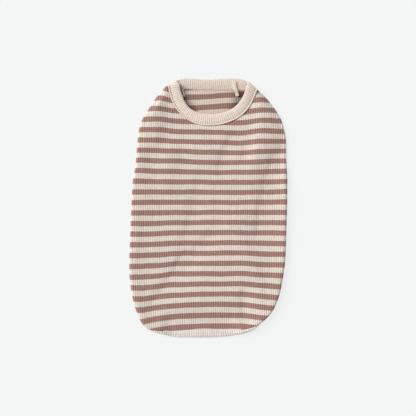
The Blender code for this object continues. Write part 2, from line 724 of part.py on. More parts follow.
# Round a leg binding's section: share of its width in from the sewn edge, and of its height.
BindingPoint = namedtuple("BindingPoint", "inward rise")
LEG_BINDING_SECTION = [
    BindingPoint(0.0, 0.5),
    BindingPoint(0.12, 1.0),
    BindingPoint(0.88, 1.0),
    BindingPoint(1.0, 0.5),
    BindingPoint(0.92, 0.0),
    BindingPoint(0.08, 0.0),
]


def build_leg_binding(name, side):
    """The folded rib round a leg hole, flat on the surface; side is -1 left and 1 right."""
    sections = []
    for i in range(LEG_BINDING_PARTS):
        angle = 2 * math.pi * i / LEG_BINDING_PARTS
        section = []
        for point in LEG_BINDING_SECTION:
            inset = SEAM + point.inward * LEG_BINDING_WIDTH
            x = side * (LEG_CENTRE_X + math.cos(angle) * (LEG_HALF_WIDTH - inset))
            y = LEG_CENTRE_Y + math.sin(angle) * (LEG_HALF_LENGTH - inset)
            section.append((x, y, point.rise * LEG_BINDING_HEIGHT))
        sections.append(section)
    return add_loft(name, sections, cloth_material(name + "_rib", PALE_CREAM), closed=True)


for leftover in list(bpy.data.objects):
    bpy.data.objects.remove(leftover, do_unlink=True)
VEST = bpy.data.collections.new("dog_vest")
bpy.context.scene.collection.children.link(VEST)

build_back_panel()
build_belly_panel()
build_neck_binding()
build_neck_seam_tail()
build_hem_band()
build_leg_binding("leg_binding_left", -1)
build_leg_binding("leg_binding_right", 1)
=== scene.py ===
"""The looks of a small dog's rib-knit vest in brown and cream stripes, laid flat.

The vest lies back up on a pale floor. Every piece is a shell in the shape of the solid it
stands for, with its ribs, stripes, seams and stitches. Sizes are in millimetres and turn
into metres where a mesh is made.
"""

import math
from collections import namedtuple

import bpy
import numpy as np
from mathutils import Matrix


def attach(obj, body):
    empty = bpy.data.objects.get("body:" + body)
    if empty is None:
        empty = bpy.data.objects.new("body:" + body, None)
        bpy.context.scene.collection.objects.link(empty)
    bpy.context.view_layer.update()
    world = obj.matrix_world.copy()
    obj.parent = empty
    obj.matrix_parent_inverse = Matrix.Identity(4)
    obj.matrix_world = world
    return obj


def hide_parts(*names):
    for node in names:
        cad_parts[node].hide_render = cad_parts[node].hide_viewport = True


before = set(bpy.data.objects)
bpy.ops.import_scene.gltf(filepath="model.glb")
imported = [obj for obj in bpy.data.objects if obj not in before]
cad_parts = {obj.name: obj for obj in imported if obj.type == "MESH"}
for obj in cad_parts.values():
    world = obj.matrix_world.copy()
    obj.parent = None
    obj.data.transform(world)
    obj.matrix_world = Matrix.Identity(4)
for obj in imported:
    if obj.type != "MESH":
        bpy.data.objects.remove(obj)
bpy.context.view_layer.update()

MM = 0.001


def table(columns, *rows):
    """Rows of numbers with named columns."""
    kind = namedtuple("Row", columns)
    return [kind(*row) for row in rows]


# ---- the vest's sizes ----

WALL = 1.2  # one layer of rib knit
BAND = 2.5  # a binding or hem band, knit folded double
SEAM = 0.35  # room between two pieces that are sewn together
PANEL_REST = 2.85  # underside of the top layer over the lower layers
HEM_REST = 0.4  # underside of the top layer where nothing lies below it
SHOULDER_RISE = 0.5  # how much higher the top layer lies beside the neck
FOLD_BED = 0.25  # how much the soft folds lift the top layer as a whole
FOLD_DIP = 1.35  # the deepest that a soft fold sinks into the top layer
FOLD_FADE = 5.0  # beside a side fold, where soft folds fade out
SWELL_RISE, SWELL_LENGTH = 0.15, 47.0  # slow swells of the top layer
ROLL_REACH = 8.0  # how far in from a side fold the cloth still lifts towards it
RIGHT_ROLL_PRESSED = 0.42  # how much flatter the right side fold lies at the shoulder
PRESSED_FROM, PRESSED_FULL = 20.0, 60.0  # where that starts and where it is so

RIB_PITCH_NECK, RIB_PITCH_HEM = 2.31, 2.21  # near the top of the back and near its foot,
PITCH_LEVEL = 110.0  # which is this far above the middle and below it
RIB_RELIEF = 0.32  # crest over valley
NECK_RIB_PITCH, HEM_RIB_PITCH = 2.1, 2.25
BAND_RIB_RELIEF = 0.28

# Where the two side folds lie across each section, and the height of the rolled fold.
SECTIONS = table(
    "y left right roll",
    (121, -43.2, 47.2, 5.2),
    (116, -47.2, 51.6, 5.3),
    (112, -51, 56.1, 5.4),
    (104, -56.4, 62.8, 5.6),
    (96, -61.6, 68.6, 5.8),
    (88, -66.2, 73, 5.8),
    (80, -68.9, 75.4, 5.7),
    (68, -70.7, 77.6, 5.6),
    (42, -72.8, 78.3, 5.4),
    (28, -75.3, 79, 5.3),
    (8, -76.7, 78.9, 5.2),
    (-22, -77.8, 78, 5.2),
    (-52, -79, 76.9, 5.3),
    (-72, -78.5, 74.2, 5.5),
    (-86, -76.4, 71.4, 5.6),
    (-98, -73.8, 67, 5.6),
    (-106, -70.6, 62.2, 5.6),
    (-114, -67.2, 54.4, 5.5),
    (-119, -63.6, 49.6, 5.4),
)

# The neck binding round its ring: the sewn edge, the free edge, and the height of the
# middle of the band at each. The near half lies on the back, the far half on the chest.
NECK_COLUMNS = "sewn_x sewn_y sewn_z free_x free_y free_z"
NECK_NEAR = table(
    NECK_COLUMNS,
    (-39.7, 121.5, 4.5, -28.8, 123.8, 4.5),
    (-38.6, 115.8, 4.6, -27.7, 117.7, 4.8),
    (-36.3, 107.8, 4.3, -25.6, 112, 4.7),
    (-32.3, 100, 4, -23.8, 107.2, 4.5),
    (-23.8, 90.6, 3.7, -18, 99.6, 4.3),
    (-11.8, 84.1, 3.6, -9.3, 95.3, 4.2),
    (0.2, 82.6, 3.6, 0.5, 94, 4.2),
    (11.7, 83.4, 3.6, 9.8, 94.5, 4.2),
    (22.8, 86.8, 3.7, 18.6, 96.8, 4.4),
    (32.6, 92.4, 3.9, 26, 100.8, 4.7),
    (40.3, 100.3, 4.2, 32.2, 107.3, 5.4),
    (45, 109.3, 4.7, 35.9, 114.6, 6.4),
    (47, 114.6, 5.1, 37.6, 120.4, 6.9),
    (48, 116.6, 4.7, 38.8, 123.9, 6.1),
)
NECK_FAR = table(
    NECK_COLUMNS,
    (48.4, 117.4, 3.3, 38.6, 126, 3.9),
    (46.2, 117.3, 1.8, 36.8, 127.4, 2.8),
    (40, 117.4, 1.3, 32.4, 128.9, 1.9),
    (29.7, 117.8, 1.3, 25.7, 129.6, 1.3),
    (13.7, 118.1, 1.3, 11.7, 129.1, 1.3),
    (-2.3, 118.1, 1.3, -2.3, 128.8, 1.3),
    (-16.3, 118.2, 1.3, -16.3, 129.4, 1.3),
    (-30.3, 118.7, 1.3, -26.6, 129.6, 1.3),
    (-38.8, 119.6, 1.4, -29.8, 128.2, 2.2),
    (-40.3, 121.9, 2.9, -31.2, 127.5, 2.9),
)

# The seam between the back panel and the hem band, from the left hem corner to the right,
# the same seam under the vest, and the bottom outline, which the band folds round.
HEM_SEAM = table(
    "x y",
    (-63.8, -118.4), (-58, -121.2), (-45, -122.7), (-30, -123.1),
    (-18, -121.9), (-8, -120.9), (17, -121.7), (32, -121.4),
    (42, -119.5), (48, -117.4), (53.6, -114.2),
)
BELLY_HEM = table(
    "x y",
    (-63, -112), (-60.8, -104), (-55.5, -95), (-46, -86.5),
    (-30, -79.5), (0, -75), (28, -78.5), (43, -84.5),
    (50.5, -92), (53.6, -100), (53.8, -107.5),
)
BOTTOM_OUTLINE = table(
    "x y",
    (-70.6, -106), (-67.2, -114), (-63.6, -119.4), (-58.3, -122.8),
    (-50.3, -125.3), (-42.3, -127.6), (-34.3, -129.1), (-24, -129.6),
    (-10, -129.6), (4, -129.5), (14, -129), (26, -127.6),
    (36, -125.4), (45.7, -121.5), (53.3, -114.8), (61.8, -105.5),
)
# Across the hem, where it stops lying flat and where it is wholly folded under.
HEM_FLAT_LEFT, HEM_TURNED_LEFT = -36.0, -50.0
HEM_FLAT_RIGHT, HEM_TURNED_RIGHT = 20.0, 36.0
HEM_SAG_TOP, HEM_SAG_FOOT = -94.0, -117.0  # where the top layer sinks to the surface
SHOULDER_FOOT, SHOULDER_TOP = 70.0, 110.0  # where it rises beside the neck

# The hem band's section, from the sewn edge over its outer face to the free edge and back:
# along the middle of the hem, where it folds round the outline, at the corners, and under
# the belly. Each has a reach and a height.
HEM_SHAPE = table(
    "flat_in flat_up folded_in folded_up corner_in corner_up under_in under_up",
    (1.00, 1.25, 4, 4.2, 0.9, 3.4, 0.90, 1.25),
    (0.86, 2.45, 3.2, 5.3, 0.3, 3.1, 1.5, 0),
    (0.40, 2.50, 1.4, 5.1, 0, 2.3, 3, 0),
    (0.12, 2.10, 0, 2.7, 0.3, 1, 5.5, 0),
    (0.00, 1.20, 1.4, 0, 1.4, 0, 8.3, 0),
    (0.05, 0.30, 5.2, 0.6, 8.8, 0.6, 9.2, 1.1),
    (0.16, 0.00, 4.6, 2.3, 8.2, 2.4, 8.3, 2.5),
    (0.40, 0.00, 2.7, 2.45, 4.5, 2.5, 5.5, 2.5),
    (0.64, 0.00, 2.4, 2.7, 2.8, 2.6, 3, 2.5),
    (0.86, 0.05, 2.7, 3, 1.8, 3, 1.5, 2.5),
)

LEG_CENTRE_X, LEG_CENTRE_Y = 46.0, 58.0
LEG_HALF_WIDTH, LEG_HALF_LENGTH = 19.0, 33.0  # to the sewn edge of the binding
LEG_BINDING_WIDTH, LEG_BINDING_HEIGHT = 8.0, 2.2
HOLE_LAP = 0.3  # how far the panels reach under the leg bindings' sewn edge
LEG_TOP = LEG_CENTRE_Y + LEG_HALF_LENGTH - HOLE_LAP
LEG_FOOT = LEG_CENTRE_Y - LEG_HALF_LENGTH + HOLE_LAP
SIDE_SEAM_X = 46.0  # under the vest, below the leg holes
BELLY_SIDE_ROOM = 0.25  # from the belly panel's sides to the back panel's edges

# Where the back panel meets the belly panel under the vest, above the leg holes.
SHOULDER_SEAMS = table(
    "y left right",
    (121, -36.6, 40.6),
    (112, -43.8, 48.6),
    (104, -49, 55.2),
    (96, -51.4, 57.2),
    (91, -52.2, 57),
)

# Soft folds of the top layer: the line that each runs along, how wide it is to the left
# of it and to the right, and how high.
FOLDS = table(
    "line left right height",
    ([(52, 114), (54, 92), (53, 72), (49, 56)], 8.5, 15, 2.3),
    ([(66, 50), (58, 24), (54, 4), (50, -22)], 5.5, 18, -1.2),
    ([(43, 44), (40, 26)], 6, 10, 0.7),
    ([(22, 69), (16, 54), (11, 40)], 4, 11, -0.9),
    ([(39, 63), (35, 51)], 4, 9, -0.6),
    ([(-9, 76), (1, 52)], 5, 7, 0.5),
    ([(-10, 26), (-17, -14), (-26, -42)], 5.5, 13, -0.7),
    ([(-25, -52), (-36, -68), (-44, -81), (-54, -94)], 5.5, 14, -1.3),
    ([(3, -27), (-12, -41), (-26, -54)], 4.5, 10, -0.8),
    ([(35, -86), (35, -112)], 4, 8, -1.1),
    ([(18, -20), (34, -36), (46, -56), (51, -78), (53, -98)], 9, 7, 0.9),
    ([(-50, 112), (-51, 90), (-55, 68)], 10, 8.5, 2),
    ([(-25, 66), (-26, 42)], 7, 9, -0.6),
    ([(-41, 56), (-43, 24)], 8, 12, 0.9),
    ([(-62, 34), (-66, -8), (-71, -44)], 12, 7, 0.5),
    ([(31, -16), (37, -62)], 15, 11, 0.4),
    ([(10, 20), (9, -12)], 6, 9, -0.4),
)

# The middle of the binding's closing seam inside the neck, and of a sliver of seam
# allowance at the left of it.
SEAM_TAIL = [
    (26, 126.4, 3.4), (26.3, 121.3, 3.45), (27.3, 118.6, 3.4),
    (28.1, 116.4, 3), (28.8, 114, 2.4), (29.4, 112, 2.1),
]
SLIVER = [(-26.2, 119.8, 1.95), (-25.4, 116.9, 1.95), (-24.6, 113.9, 1.8), (-23.9, 111.4, 1.6)]


# ---- curves and soft steps ----


def along(knots, values, at):
    """A cubic through the values that adds no overshoot between two knots."""
    knots, values = np.asarray(knots, float), np.asarray(values, float)
    if knots[0] > knots[-1]:
        knots, values = knots[::-1], values[::-1]
    step = np.diff(knots)
    slope = np.diff(values) / step
    inner = slope[:-1] * slope[1:]
    weighted = 3 * (step[:-1] + step[1:]) / (
        (2 * step[1:] + step[:-1]) / np.where(inner > 0, slope[:-1], 1.0)
        + (step[1:] + 2 * step[:-1]) / np.where(inner > 0, slope[1:], 1.0)
    )
    tangent = np.concatenate([[slope[0]], np.where(inner > 0, weighted, 0.0), [slope[-1]]])
    at = np.clip(np.asarray(at, float), knots[0], knots[-1])
    i = np.clip(np.searchsorted(knots, at) - 1, 0, len(step) - 1)
    return hermite(knots, values, tangent, i, at)


def hermite(knots, values, tangent, i, at):
    """A cubic between knots i and i + 1 with the given slopes there."""
    step = knots[i + 1] - knots[i]
    t = (at - knots[i]) / step
    return (
        (1 + 2 * t) * (1 - t) ** 2 * values[i]
        + t * (1 - t) ** 2 * step * tangent[i]
        + t * t * (3 - 2 * t) * values[i + 1]
        + t * t * (t - 1) * step * tangent[i + 1]
    )


def travelled(path):
    """How far along a path of straight stretches each of its points lies."""
    gaps = np.linalg.norm(np.diff(path, axis=0), axis=1)
    return np.concatenate([[0], np.cumsum(gaps)])


def path_through(points, spacing=None, closed=False, count=None):
    """Evenly spaced points of a smooth curve through the given ones, in any dimension."""
    points = np.asarray(points, float)
    if closed:
        points = np.concatenate([points[-2:], points, points[:3]])
    chord = travelled(points)
    start, end = (chord[2], chord[-3]) if closed else (0, chord[-1])
    count = count or max(2, round((end - start) / spacing))
    at = np.linspace(start, end, count + 1)
    if closed:
        at = at[:-1]
    i = np.clip(np.searchsorted(chord, at, side="right") - 1, 0, len(chord) - 2)
    curves = [hermite(chord, axis, np.gradient(axis, chord), i, at) for axis in points.T]
    return np.stack(curves, 1)


def smoothstep(low, high, value):
    t = np.clip((np.asarray(value, float) - low) / (high - low), 0, 1)
    return t * t * (3 - 2 * t)


def between(start, end, share):
    return start + share * (end - start)


def unit(vectors):
    return vectors / np.maximum(np.linalg.norm(vectors, axis=-1, keepdims=True), 1e-9)


def turns_round(count):
    """Angles evenly spaced round a full turn."""
    return 2 * math.pi * np.arange(count) / count


def sideways(path, side):
    """Unit vectors across a path in the plane, to its left for side 1."""
    run = unit(np.gradient(path, axis=0))
    return side * np.stack([-run[:, 1], run[:, 0]], 1)


def wander(x, y, length):
    """A slow unevenness between -1 and 1 over the cloth, with swells about length long."""
    turn = 2 * math.pi / length
    return (
        np.sin(turn * (0.9 * x + 0.5 * y) + 1.3)
        + np.sin(turn * (-0.4 * x + 1.1 * y) + 4.1)
        + np.sin(turn * (1.3 * x - 0.8 * y) + 0.4)
    ) / 3


# ---- how the cloth lies ----


def at_level(rows, name, y):
    """A named column of a table of levels, read at a height."""
    return along([row.y for row in rows], [getattr(row, name) for row in rows], y)


def reach_at(rows, side, y):
    """How far from the middle a table's left or right column lies."""
    return np.abs(at_level(rows, "left" if side < 0 else "right", y))


def roll_height(y, side):
    """Height of a side's rolled fold, which is pressed flatter at the right shoulder."""
    at_shoulder = smoothstep(PRESSED_FROM, PRESSED_FULL, y) * (side > 0)
    return at_level(SECTIONS, "roll", y) * (1 - RIGHT_ROLL_PRESSED * at_shoulder)


def beside_line(x, y, line):
    """How far points lie from a line of straight stretches that runs down the vest, and
    from -1 to 1 how much to its left or right."""
    near, side = np.full(np.shape(x), np.inf), np.zeros(np.shape(x))
    for (x0, y0), (x1, y1) in zip(line, line[1:]):
        run_x, run_y = x1 - x0, y1 - y0
        length = np.hypot(run_x, run_y)
        share = np.clip(((x - x0) * run_x + (y - y0) * run_y) / length**2, 0, 1)
        off = np.hypot(x - x0 - share * run_x, y - y0 - share * run_y)
        across = (run_x * (y - y0) - run_y * (x - x0)) / length
        side = np.where(off < near, across / np.maximum(off, 1e-6), side)
        near = np.minimum(near, off)
    return near, side


def fold_relief(x, y):
    """How far the soft folds lift the top layer at a point."""
    total = 0.0
    for fold in FOLDS:
        off, side = beside_line(x, y, fold.line)
        width = between(fold.left, fold.right, smoothstep(-1.0, 1.0, side))
        total = total + fold.height * np.exp(-((off / width) ** 2))
    return total


def hem_turned(x):
    """0 where the hem lies flat on the surface, 1 at the corners where it folds under."""
    left = smoothstep(HEM_FLAT_LEFT, HEM_TURNED_LEFT, x)
    return left + smoothstep(HEM_FLAT_RIGHT, HEM_TURNED_RIGHT, x)


def top_height(x, y):
    """Outer face of the top layer, without its ribs."""
    lowered = smoothstep(HEM_SAG_TOP, HEM_SAG_FOOT, y) * (1 - hem_turned(x))
    rest = between(PANEL_REST, HEM_REST, lowered)
    shoulder = SHOULDER_RISE * smoothstep(SHOULDER_FOOT, SHOULDER_TOP, y)
    flat = rest + WALL + shoulder + FOLD_BED + SWELL_RISE * wander(x, y, SWELL_LENGTH)
    inside = np.minimum(x - at_level(SECTIONS, "left", y), at_level(SECTIONS, "right", y) - x)
    roll = roll_height(y, np.sign(x))
    past_roll = np.maximum(inside - roll / 2, 0)
    folds = np.maximum(fold_relief(x, y) * (1 - lowered), -FOLD_DIP)
    folds = folds * smoothstep(0.0, FOLD_FADE, past_roll)
    return flat + (roll - flat) * np.exp(-((past_roll / ROLL_REACH) ** 2)) + folds


def flat_reach(y, side):
    """How far the flat part of the top layer reaches from the middle, left or right."""
    return reach_at(SECTIONS, side, y) - roll_height(y, side) / 2


def rolled_reach(y, side):
    """The same along the cloth, to where it has gone round the side fold."""
    return flat_reach(y, side) + math.pi * roll_height(y, side) / 2


def leg_hole_reach(y, margin):
    """Half the width of a leg hole's sewn edge at a height, or 0 past its ends."""
    ahead = (np.asarray(y, float) - LEG_CENTRE_Y) / (LEG_HALF_LENGTH + margin)
    return (LEG_HALF_WIDTH + margin) * np.sqrt(np.maximum(1 - ahead**2, 0))


def under_edge(y, side):
    """How far from the middle the back panel ends under the vest."""
    y = np.asarray(y, float)
    shoulder = reach_at(SHOULDER_SEAMS, side, y)
    leg = LEG_CENTRE_X + leg_hole_reach(y, -HOLE_LAP)
    corner = sorted((p.y, abs(p.x)) for p in BELLY_HEM if p.x * side > SIDE_SEAM_X - 4.0)
    hem = np.interp(y, [p[0] for p in corner], [p[1] for p in corner])
    edge = np.where(y > LEG_TOP, shoulder, np.where(y > LEG_FOOT, leg, SIDE_SEAM_X))
    return np.where(y < corner[-1][0], np.maximum(hem, SIDE_SEAM_X), edge)


def belly_side(y, side):
    """How far from the middle the belly panel reaches on one side."""
    y = np.asarray(y, float)
    beside_hole = LEG_CENTRE_X - leg_hole_reach(y, -HOLE_LAP)
    in_hole = (y <= LEG_TOP) & (y > LEG_FOOT)
    return np.where(in_hole, beside_hole, under_edge(y, side) - BELLY_SIDE_ROOM)


def neck_ring():
    """The binding's two edges all round the ring, six numbers to a point."""
    return path_through(NECK_NEAR + NECK_FAR, 0.5, closed=True)


# ---- the knit's own lines ----

# Heights of some brown stripes, counted from the first whole one, at places across the
# back. The stripes bow at the sides: up near the neck and down near the hem.
STRIPE_PLACES = (-66.0, -50.0, -34.0, -2.0, 30.0, 54.0, 74.0)
STRIPES = {
    -3: (109.2, 109.8, 107.1, 106, 105.4, 108.1, 107.5),
    0: (78.1, 77.9, 76.5, 75.8, 74.8, 76.7, 76.6),
    3: (47.6, 47.1, 46.8, 45.6, 45.3, 46.2, 46.8),
    6: (16.1, 15.8, 15.9, 15.7, 15.6, 15.8, 16.4),
    10: (-26.1, -25.6, -25, -24.7, -24.5, -24.9, -25.1),
    14: (-69, -68, -66, -65.8, -65.4, -66.8, -67.6),
    17: (-101.6, -99.4, -97.8, -96.3, -96.3, -99.1, -100.6),
    19: (-126, -121.7, -120.1, -118.3, -118.3, -120.2, -122),
}
STRIPE_SWAY, STRIPE_SWAY_LENGTH = 0.3, 43.0  # how the stripes stray from the table
BROWN_SHARE = 0.505  # of a brown and a cream stripe together
COURSES = 8  # rows of stitches in a brown and a cream stripe
COURSES_PER_MM = 0.9  # of the bindings and the hem band
COURSES_ROUND = 18.0  # round the section of the hem band and of the leg bindings

# The chest panel's inside, as seen through the neck, in the same way.
INSIDE_PLACES = (-30.0, -10.0, 2.0, 16.0, 34.0)
INSIDE_STRIPES = {
    -1: (121.6, 121.8, 122.2, 123.2, 123.6),
    0: (110.9, 111.2, 111.7, 112.9, 113.3),
    1: (99.9, 100.3, 101, 102.4, 102.9),
    2: (89.3, 89.6, 90.2, 91, 91.4),
    18: (-80, -79.6, -79.4, -79.6, -80),
}


def rib_pitch(y):
    share = (np.asarray(y, float) + PITCH_LEVEL) / (2 * PITCH_LEVEL)
    return between(RIB_PITCH_HEM, RIB_PITCH_NECK, share)


def stripe_number(stripes, places, x, y):
    """Which stripe a point of a panel lies in, with its fraction."""
    y = y - STRIPE_SWAY * wander(x, y, STRIPE_SWAY_LENGTH)
    numbers = list(stripes)
    lines = [along(places, heights, x) for heights in stripes.values()]
    number = np.zeros(np.shape(y))
    for upper, lower, high, low in zip(numbers, numbers[1:], lines, lines[1:]):
        here = between(upper, lower, (high - y) / (high - low))
        number = np.where((y <= high) | (upper == numbers[0]), here, number)
    return number


def rib_wave(wale):
    """A rib's outline over its middle height: a round crest at each whole number."""
    off = np.abs(wale - np.round(wale)) * 2
    return 0.5 - off**2.4


# ---- node groups and materials ----

FLOAT, VECTOR = "NodeSocketFloat", "NodeSocketVector"


def srgb(red, green, blue):
    """A colour as a screen shows it, from 0 to 255, in the numbers that a shader takes."""
    shown = np.array([red, green, blue]) / 255
    linear = np.where(shown <= 0.04045, shown / 12.92, ((shown + 0.055) / 1.055) ** 2.4)
    return (*(float(v) for v in linear), 1.0)


def set_inputs(tree, made, inputs):
    """A node's inputs set to values, or joined to other nodes' sockets."""
    for key, value in inputs.items():
        if isinstance(value, bpy.types.NodeSocket):
            tree.links.new(value, made.inputs[key])
        else:
            made.inputs[key].default_value = value


def node(tree, kind, inputs=None, **settings):
    made = tree.nodes.new(kind)
    for name, value in settings.items():
        setattr(made, name, value)
    set_inputs(tree, made, inputs or {})
    return made


def maths(tree, operation, *values):
    inputs = dict(enumerate(values))
    return node(tree, "ShaderNodeMath", inputs, operation=operation).outputs[0]


def times_plus(tree, value, factor, added):
    return maths(tree, "MULTIPLY_ADD", value, factor, added)


def ramp(tree, value, low, high, start=0.0, end=1.0):
    """start below low, end above high, and a soft step between them."""
    inputs = {"Value": value, 1: low, 2: high, 3: start, 4: end}
    made = node(tree, "ShaderNodeMapRange", inputs, interpolation_type="SMOOTHSTEP")
    return made.outputs["Result"]


def new_group(name, inputs, outputs):
    """A shader node group with the given inputs and float outputs, the sockets of what goes
    in, and the node that takes what goes out."""
    group = bpy.data.node_groups.new(name, "ShaderNodeTree")
    for label, kind in inputs:
        group.interface.new_socket(label, in_out="INPUT", socket_type=kind)
    for label in outputs:
        group.interface.new_socket(label, in_out="OUTPUT", socket_type=FLOAT)
    given = group.nodes.new("NodeGroupInput").outputs
    return group, given, group.nodes.new("NodeGroupOutput")


def off_whole(tree, value, shift=0.5):
    """How far a value lies from the nearest whole number, which shift may move."""
    part = maths(tree, "FRACT", maths(tree, "ADD", value, shift))
    return maths(tree, "ABSOLUTE", maths(tree, "SUBTRACT", part, 0.5))


def rib_stitch_group():
    """The stitches of a rib: two legs that meet in a V, course after course, between
    the sunken valleys that part it from the next ribs."""
    group, given, sink = new_group(
        "rib_stitches", [("Wale", FLOAT), ("Course", FLOAT)], ["Height", "Valley", "Loop"]
    )
    off = off_whole(group, given["Wale"])
    lean = times_plus(group, off, 1.3, given["Course"])
    wave = maths(group, "COSINE", maths(group, "MULTIPLY", lean, 2 * math.pi))
    loop = times_plus(group, wave, 0.5, 0.5)
    valley = ramp(group, off, 0.27, 0.5)
    cleft = ramp(group, off, 0.0, 0.1, 1.0, 0.0)
    height = times_plus(group, loop, 0.45, 0.55)
    height = times_plus(group, valley, -0.55, height)
    height = times_plus(group, cleft, -0.2, height)
    set_inputs(group, sink, {"Height": height, "Valley": valley, "Loop": loop})
    return group


def yarn_group():
    """The unevenness of spun yarn: a fine fuzz and a slow change of tone."""
    group, given, sink = new_group("yarn", [("Place", VECTOR)], ["Fuzz", "Tone"])
    for label, scale, detail in (("Fuzz", 1900.0, 3.0), ("Tone", 260.0, 4.0)):
        inputs = {"Vector": given["Place"], "Scale": scale, "Detail": detail}
        noise = node(group, "ShaderNodeTexNoise", inputs).outputs["Fac"]
        set_inputs(group, sink, {label: maths(group, "SUBTRACT", noise, 0.5)})
    return group


def stripe_group():
    """1 in a brown stripe and 0 in a cream one; a brown stripe is centred on each whole
    number, and its edge follows the slant of the stitches."""
    group, given, sink = new_group("stripes", [("Stripe", FLOAT), ("Wale", FLOAT)], ["Brown"])
    slant = off_whole(group, given["Wale"])
    place = times_plus(group, slant, 0.07, given["Stripe"])
    off = off_whole(group, place, 0.485)
    edge = BROWN_SHARE / 2
    set_inputs(group, sink, {"Brown": ramp(group, off, edge - 0.02, edge + 0.02, 1.0, 0.0)})
    return group


RIB_STITCHES = rib_stitch_group()
YARN = yarn_group()
STRIPE_MASK = stripe_group()


def in_group(tree, group, **inputs):
    return node(tree, "ShaderNodeGroup", inputs, node_tree=group).outputs


def fabric_lines(tree, courses):
    """The wale and course numbers of the knit, and its stripe number, from its own map."""
    uv = node(tree, "ShaderNodeUVMap", uv_map="fabric").outputs["UV"]
    split = node(tree, "ShaderNodeSeparateXYZ", {0: uv}).outputs
    return split["X"], maths(tree, "MULTIPLY", split["Y"], courses), split["Y"]


def set_surface(tree, colour, shade, rough, height, strength, depth):
    """A material's Principled shader with a shaded colour, a roughness and a bump whose
    depth is in millimetres."""
    shader = tree.nodes["Principled BSDF"]
    tint = node(tree, "ShaderNodeVectorMath", {0: colour, "Scale": shade}, operation="SCALE")
    inputs = {"Height": height, "Strength": strength, "Distance": depth * MM}
    normal = node(tree, "ShaderNodeBump", inputs).outputs["Normal"]
    surface = {"Base Color": tint.outputs["Vector"], "Roughness": rough, "Normal": normal}
    set_inputs(tree, shader, surface)
    return shader


def new_material(name):
    material = bpy.data.materials.new(name)
    material.use_nodes = True
    return material, material.node_tree


def yarn_in(tree):
    place = node(tree, "ShaderNodeTexCoord").outputs["Object"]
    return in_group(tree, YARN, Place=place)


def rib_knit(name, courses, cream, rib_depth, valley_shade, brown=None):
    """A rib in cream, or in brown and cream stripes, with a dry, downy finish. Its colour has
    painted shade in the valleys and between the loops, and the painted shade or highlight each
    point carries."""
    material, tree = new_material(name)
    wale, course, stripe = fabric_lines(tree, courses)
    stitches = in_group(tree, RIB_STITCHES, Wale=wale, Course=course)
    yarn = yarn_in(tree)
    colour = cream[:3]
    if brown:
        mask = in_group(tree, STRIPE_MASK, Stripe=stripe, Wale=wale)["Brown"]
        inputs = {"Factor": mask, "A": cream, "B": brown}
        colour = node(tree, "ShaderNodeMix", inputs, data_type="RGBA").outputs[2]
        valley_shade = times_plus(tree, mask, BROWN_VALLEY_SHADE, valley_shade)
    # painted shade in the rib valleys, and a painted highlight on the loops
    sunken = maths(tree, "MULTIPLY", stitches["Valley"], valley_shade)
    shade = times_plus(tree, sunken, -1.0, 1.0)
    shade = times_plus(tree, stitches["Loop"], 0.08, shade)
    shade = times_plus(tree, yarn["Tone"], 0.3, shade)
    shade = times_plus(tree, yarn["Fuzz"], 0.3, shade)
    # painted shade from each point's attribute, a painted highlight where it is negative
    painted_shade = node(tree, "ShaderNodeAttribute", attribute_name="painted_shade").outputs["Fac"]
    shade = maths(tree, "MULTIPLY", shade, maths(tree, "SUBTRACT", 1.0, painted_shade))
    rough = times_plus(tree, yarn["Fuzz"], 0.1, 0.9)
    height = times_plus(tree, yarn["Fuzz"], 0.5, stitches["Height"])
    shader = set_surface(tree, colour, shade, rough, height, 0.8, rib_depth)
    downy = {"Sheen Weight": 0.12, "Sheen Roughness": 0.6, "Specular IOR Level": 0.2}
    set_inputs(tree, shader, downy)
    return material


def striped_knit(name, brown, cream):
    return rib_knit(name, COURSES, cream, 0.22, 0.05, brown)


def plain_rib(name, cream, valley_shade):
    return rib_knit(name, COURSES_PER_MM, cream, 0.14, valley_shade)


def sewing_thread(name, colour):
    """Twisted sewing thread, with the unevenness of its plies."""
    material, tree = new_material(name)
    yarn = yarn_in(tree)
    shade = times_plus(tree, yarn["Fuzz"], 0.35, 1.0)
    rough = times_plus(tree, yarn["Tone"], 0.2, 0.7)
    set_surface(tree, colour[:3], shade, rough, yarn["Fuzz"], 0.5, 0.1)
    return material


BROWN_VALLEY_SHADE = 0.5  # how much more painted shade the valleys get in brown than in cream
BROWN, CREAM = srgb(167, 129, 119), srgb(221, 210, 199)
# The inside's colours are the outside's darkened: painted shade for the inside, which lies in
# shade.
SHADED_INSIDE_BROWN, SHADED_INSIDE_CREAM = srgb(157, 123, 110), srgb(214, 197, 185)
BINDING_CREAM, HEM_CREAM = srgb(234, 217, 204), srgb(231, 219, 215)

striped_outside = striped_knit("striped_outside", BROWN, CREAM)
striped_inside = striped_knit("striped_inside", SHADED_INSIDE_BROWN, SHADED_INSIDE_CREAM)
neck_rib = plain_rib("neck_rib", BINDING_CREAM, 0.2)
hem_rib = plain_rib("hem_rib", HEM_CREAM, 0.3)
leg_rib = plain_rib("leg_rib", BINDING_CREAM, 0.2)
serged_thread = sewing_thread("serged_thread", srgb(240, 224, 209))
seam_thread = sewing_thread("seam_thread", srgb(230, 216, 202))


# ---- meshes ----

SHARP_FROM = math.radians(60)


def add_object(name, data):
    made = bpy.data.objects.new(name, data)
    bpy.context.scene.collection.objects.link(made)
    return made


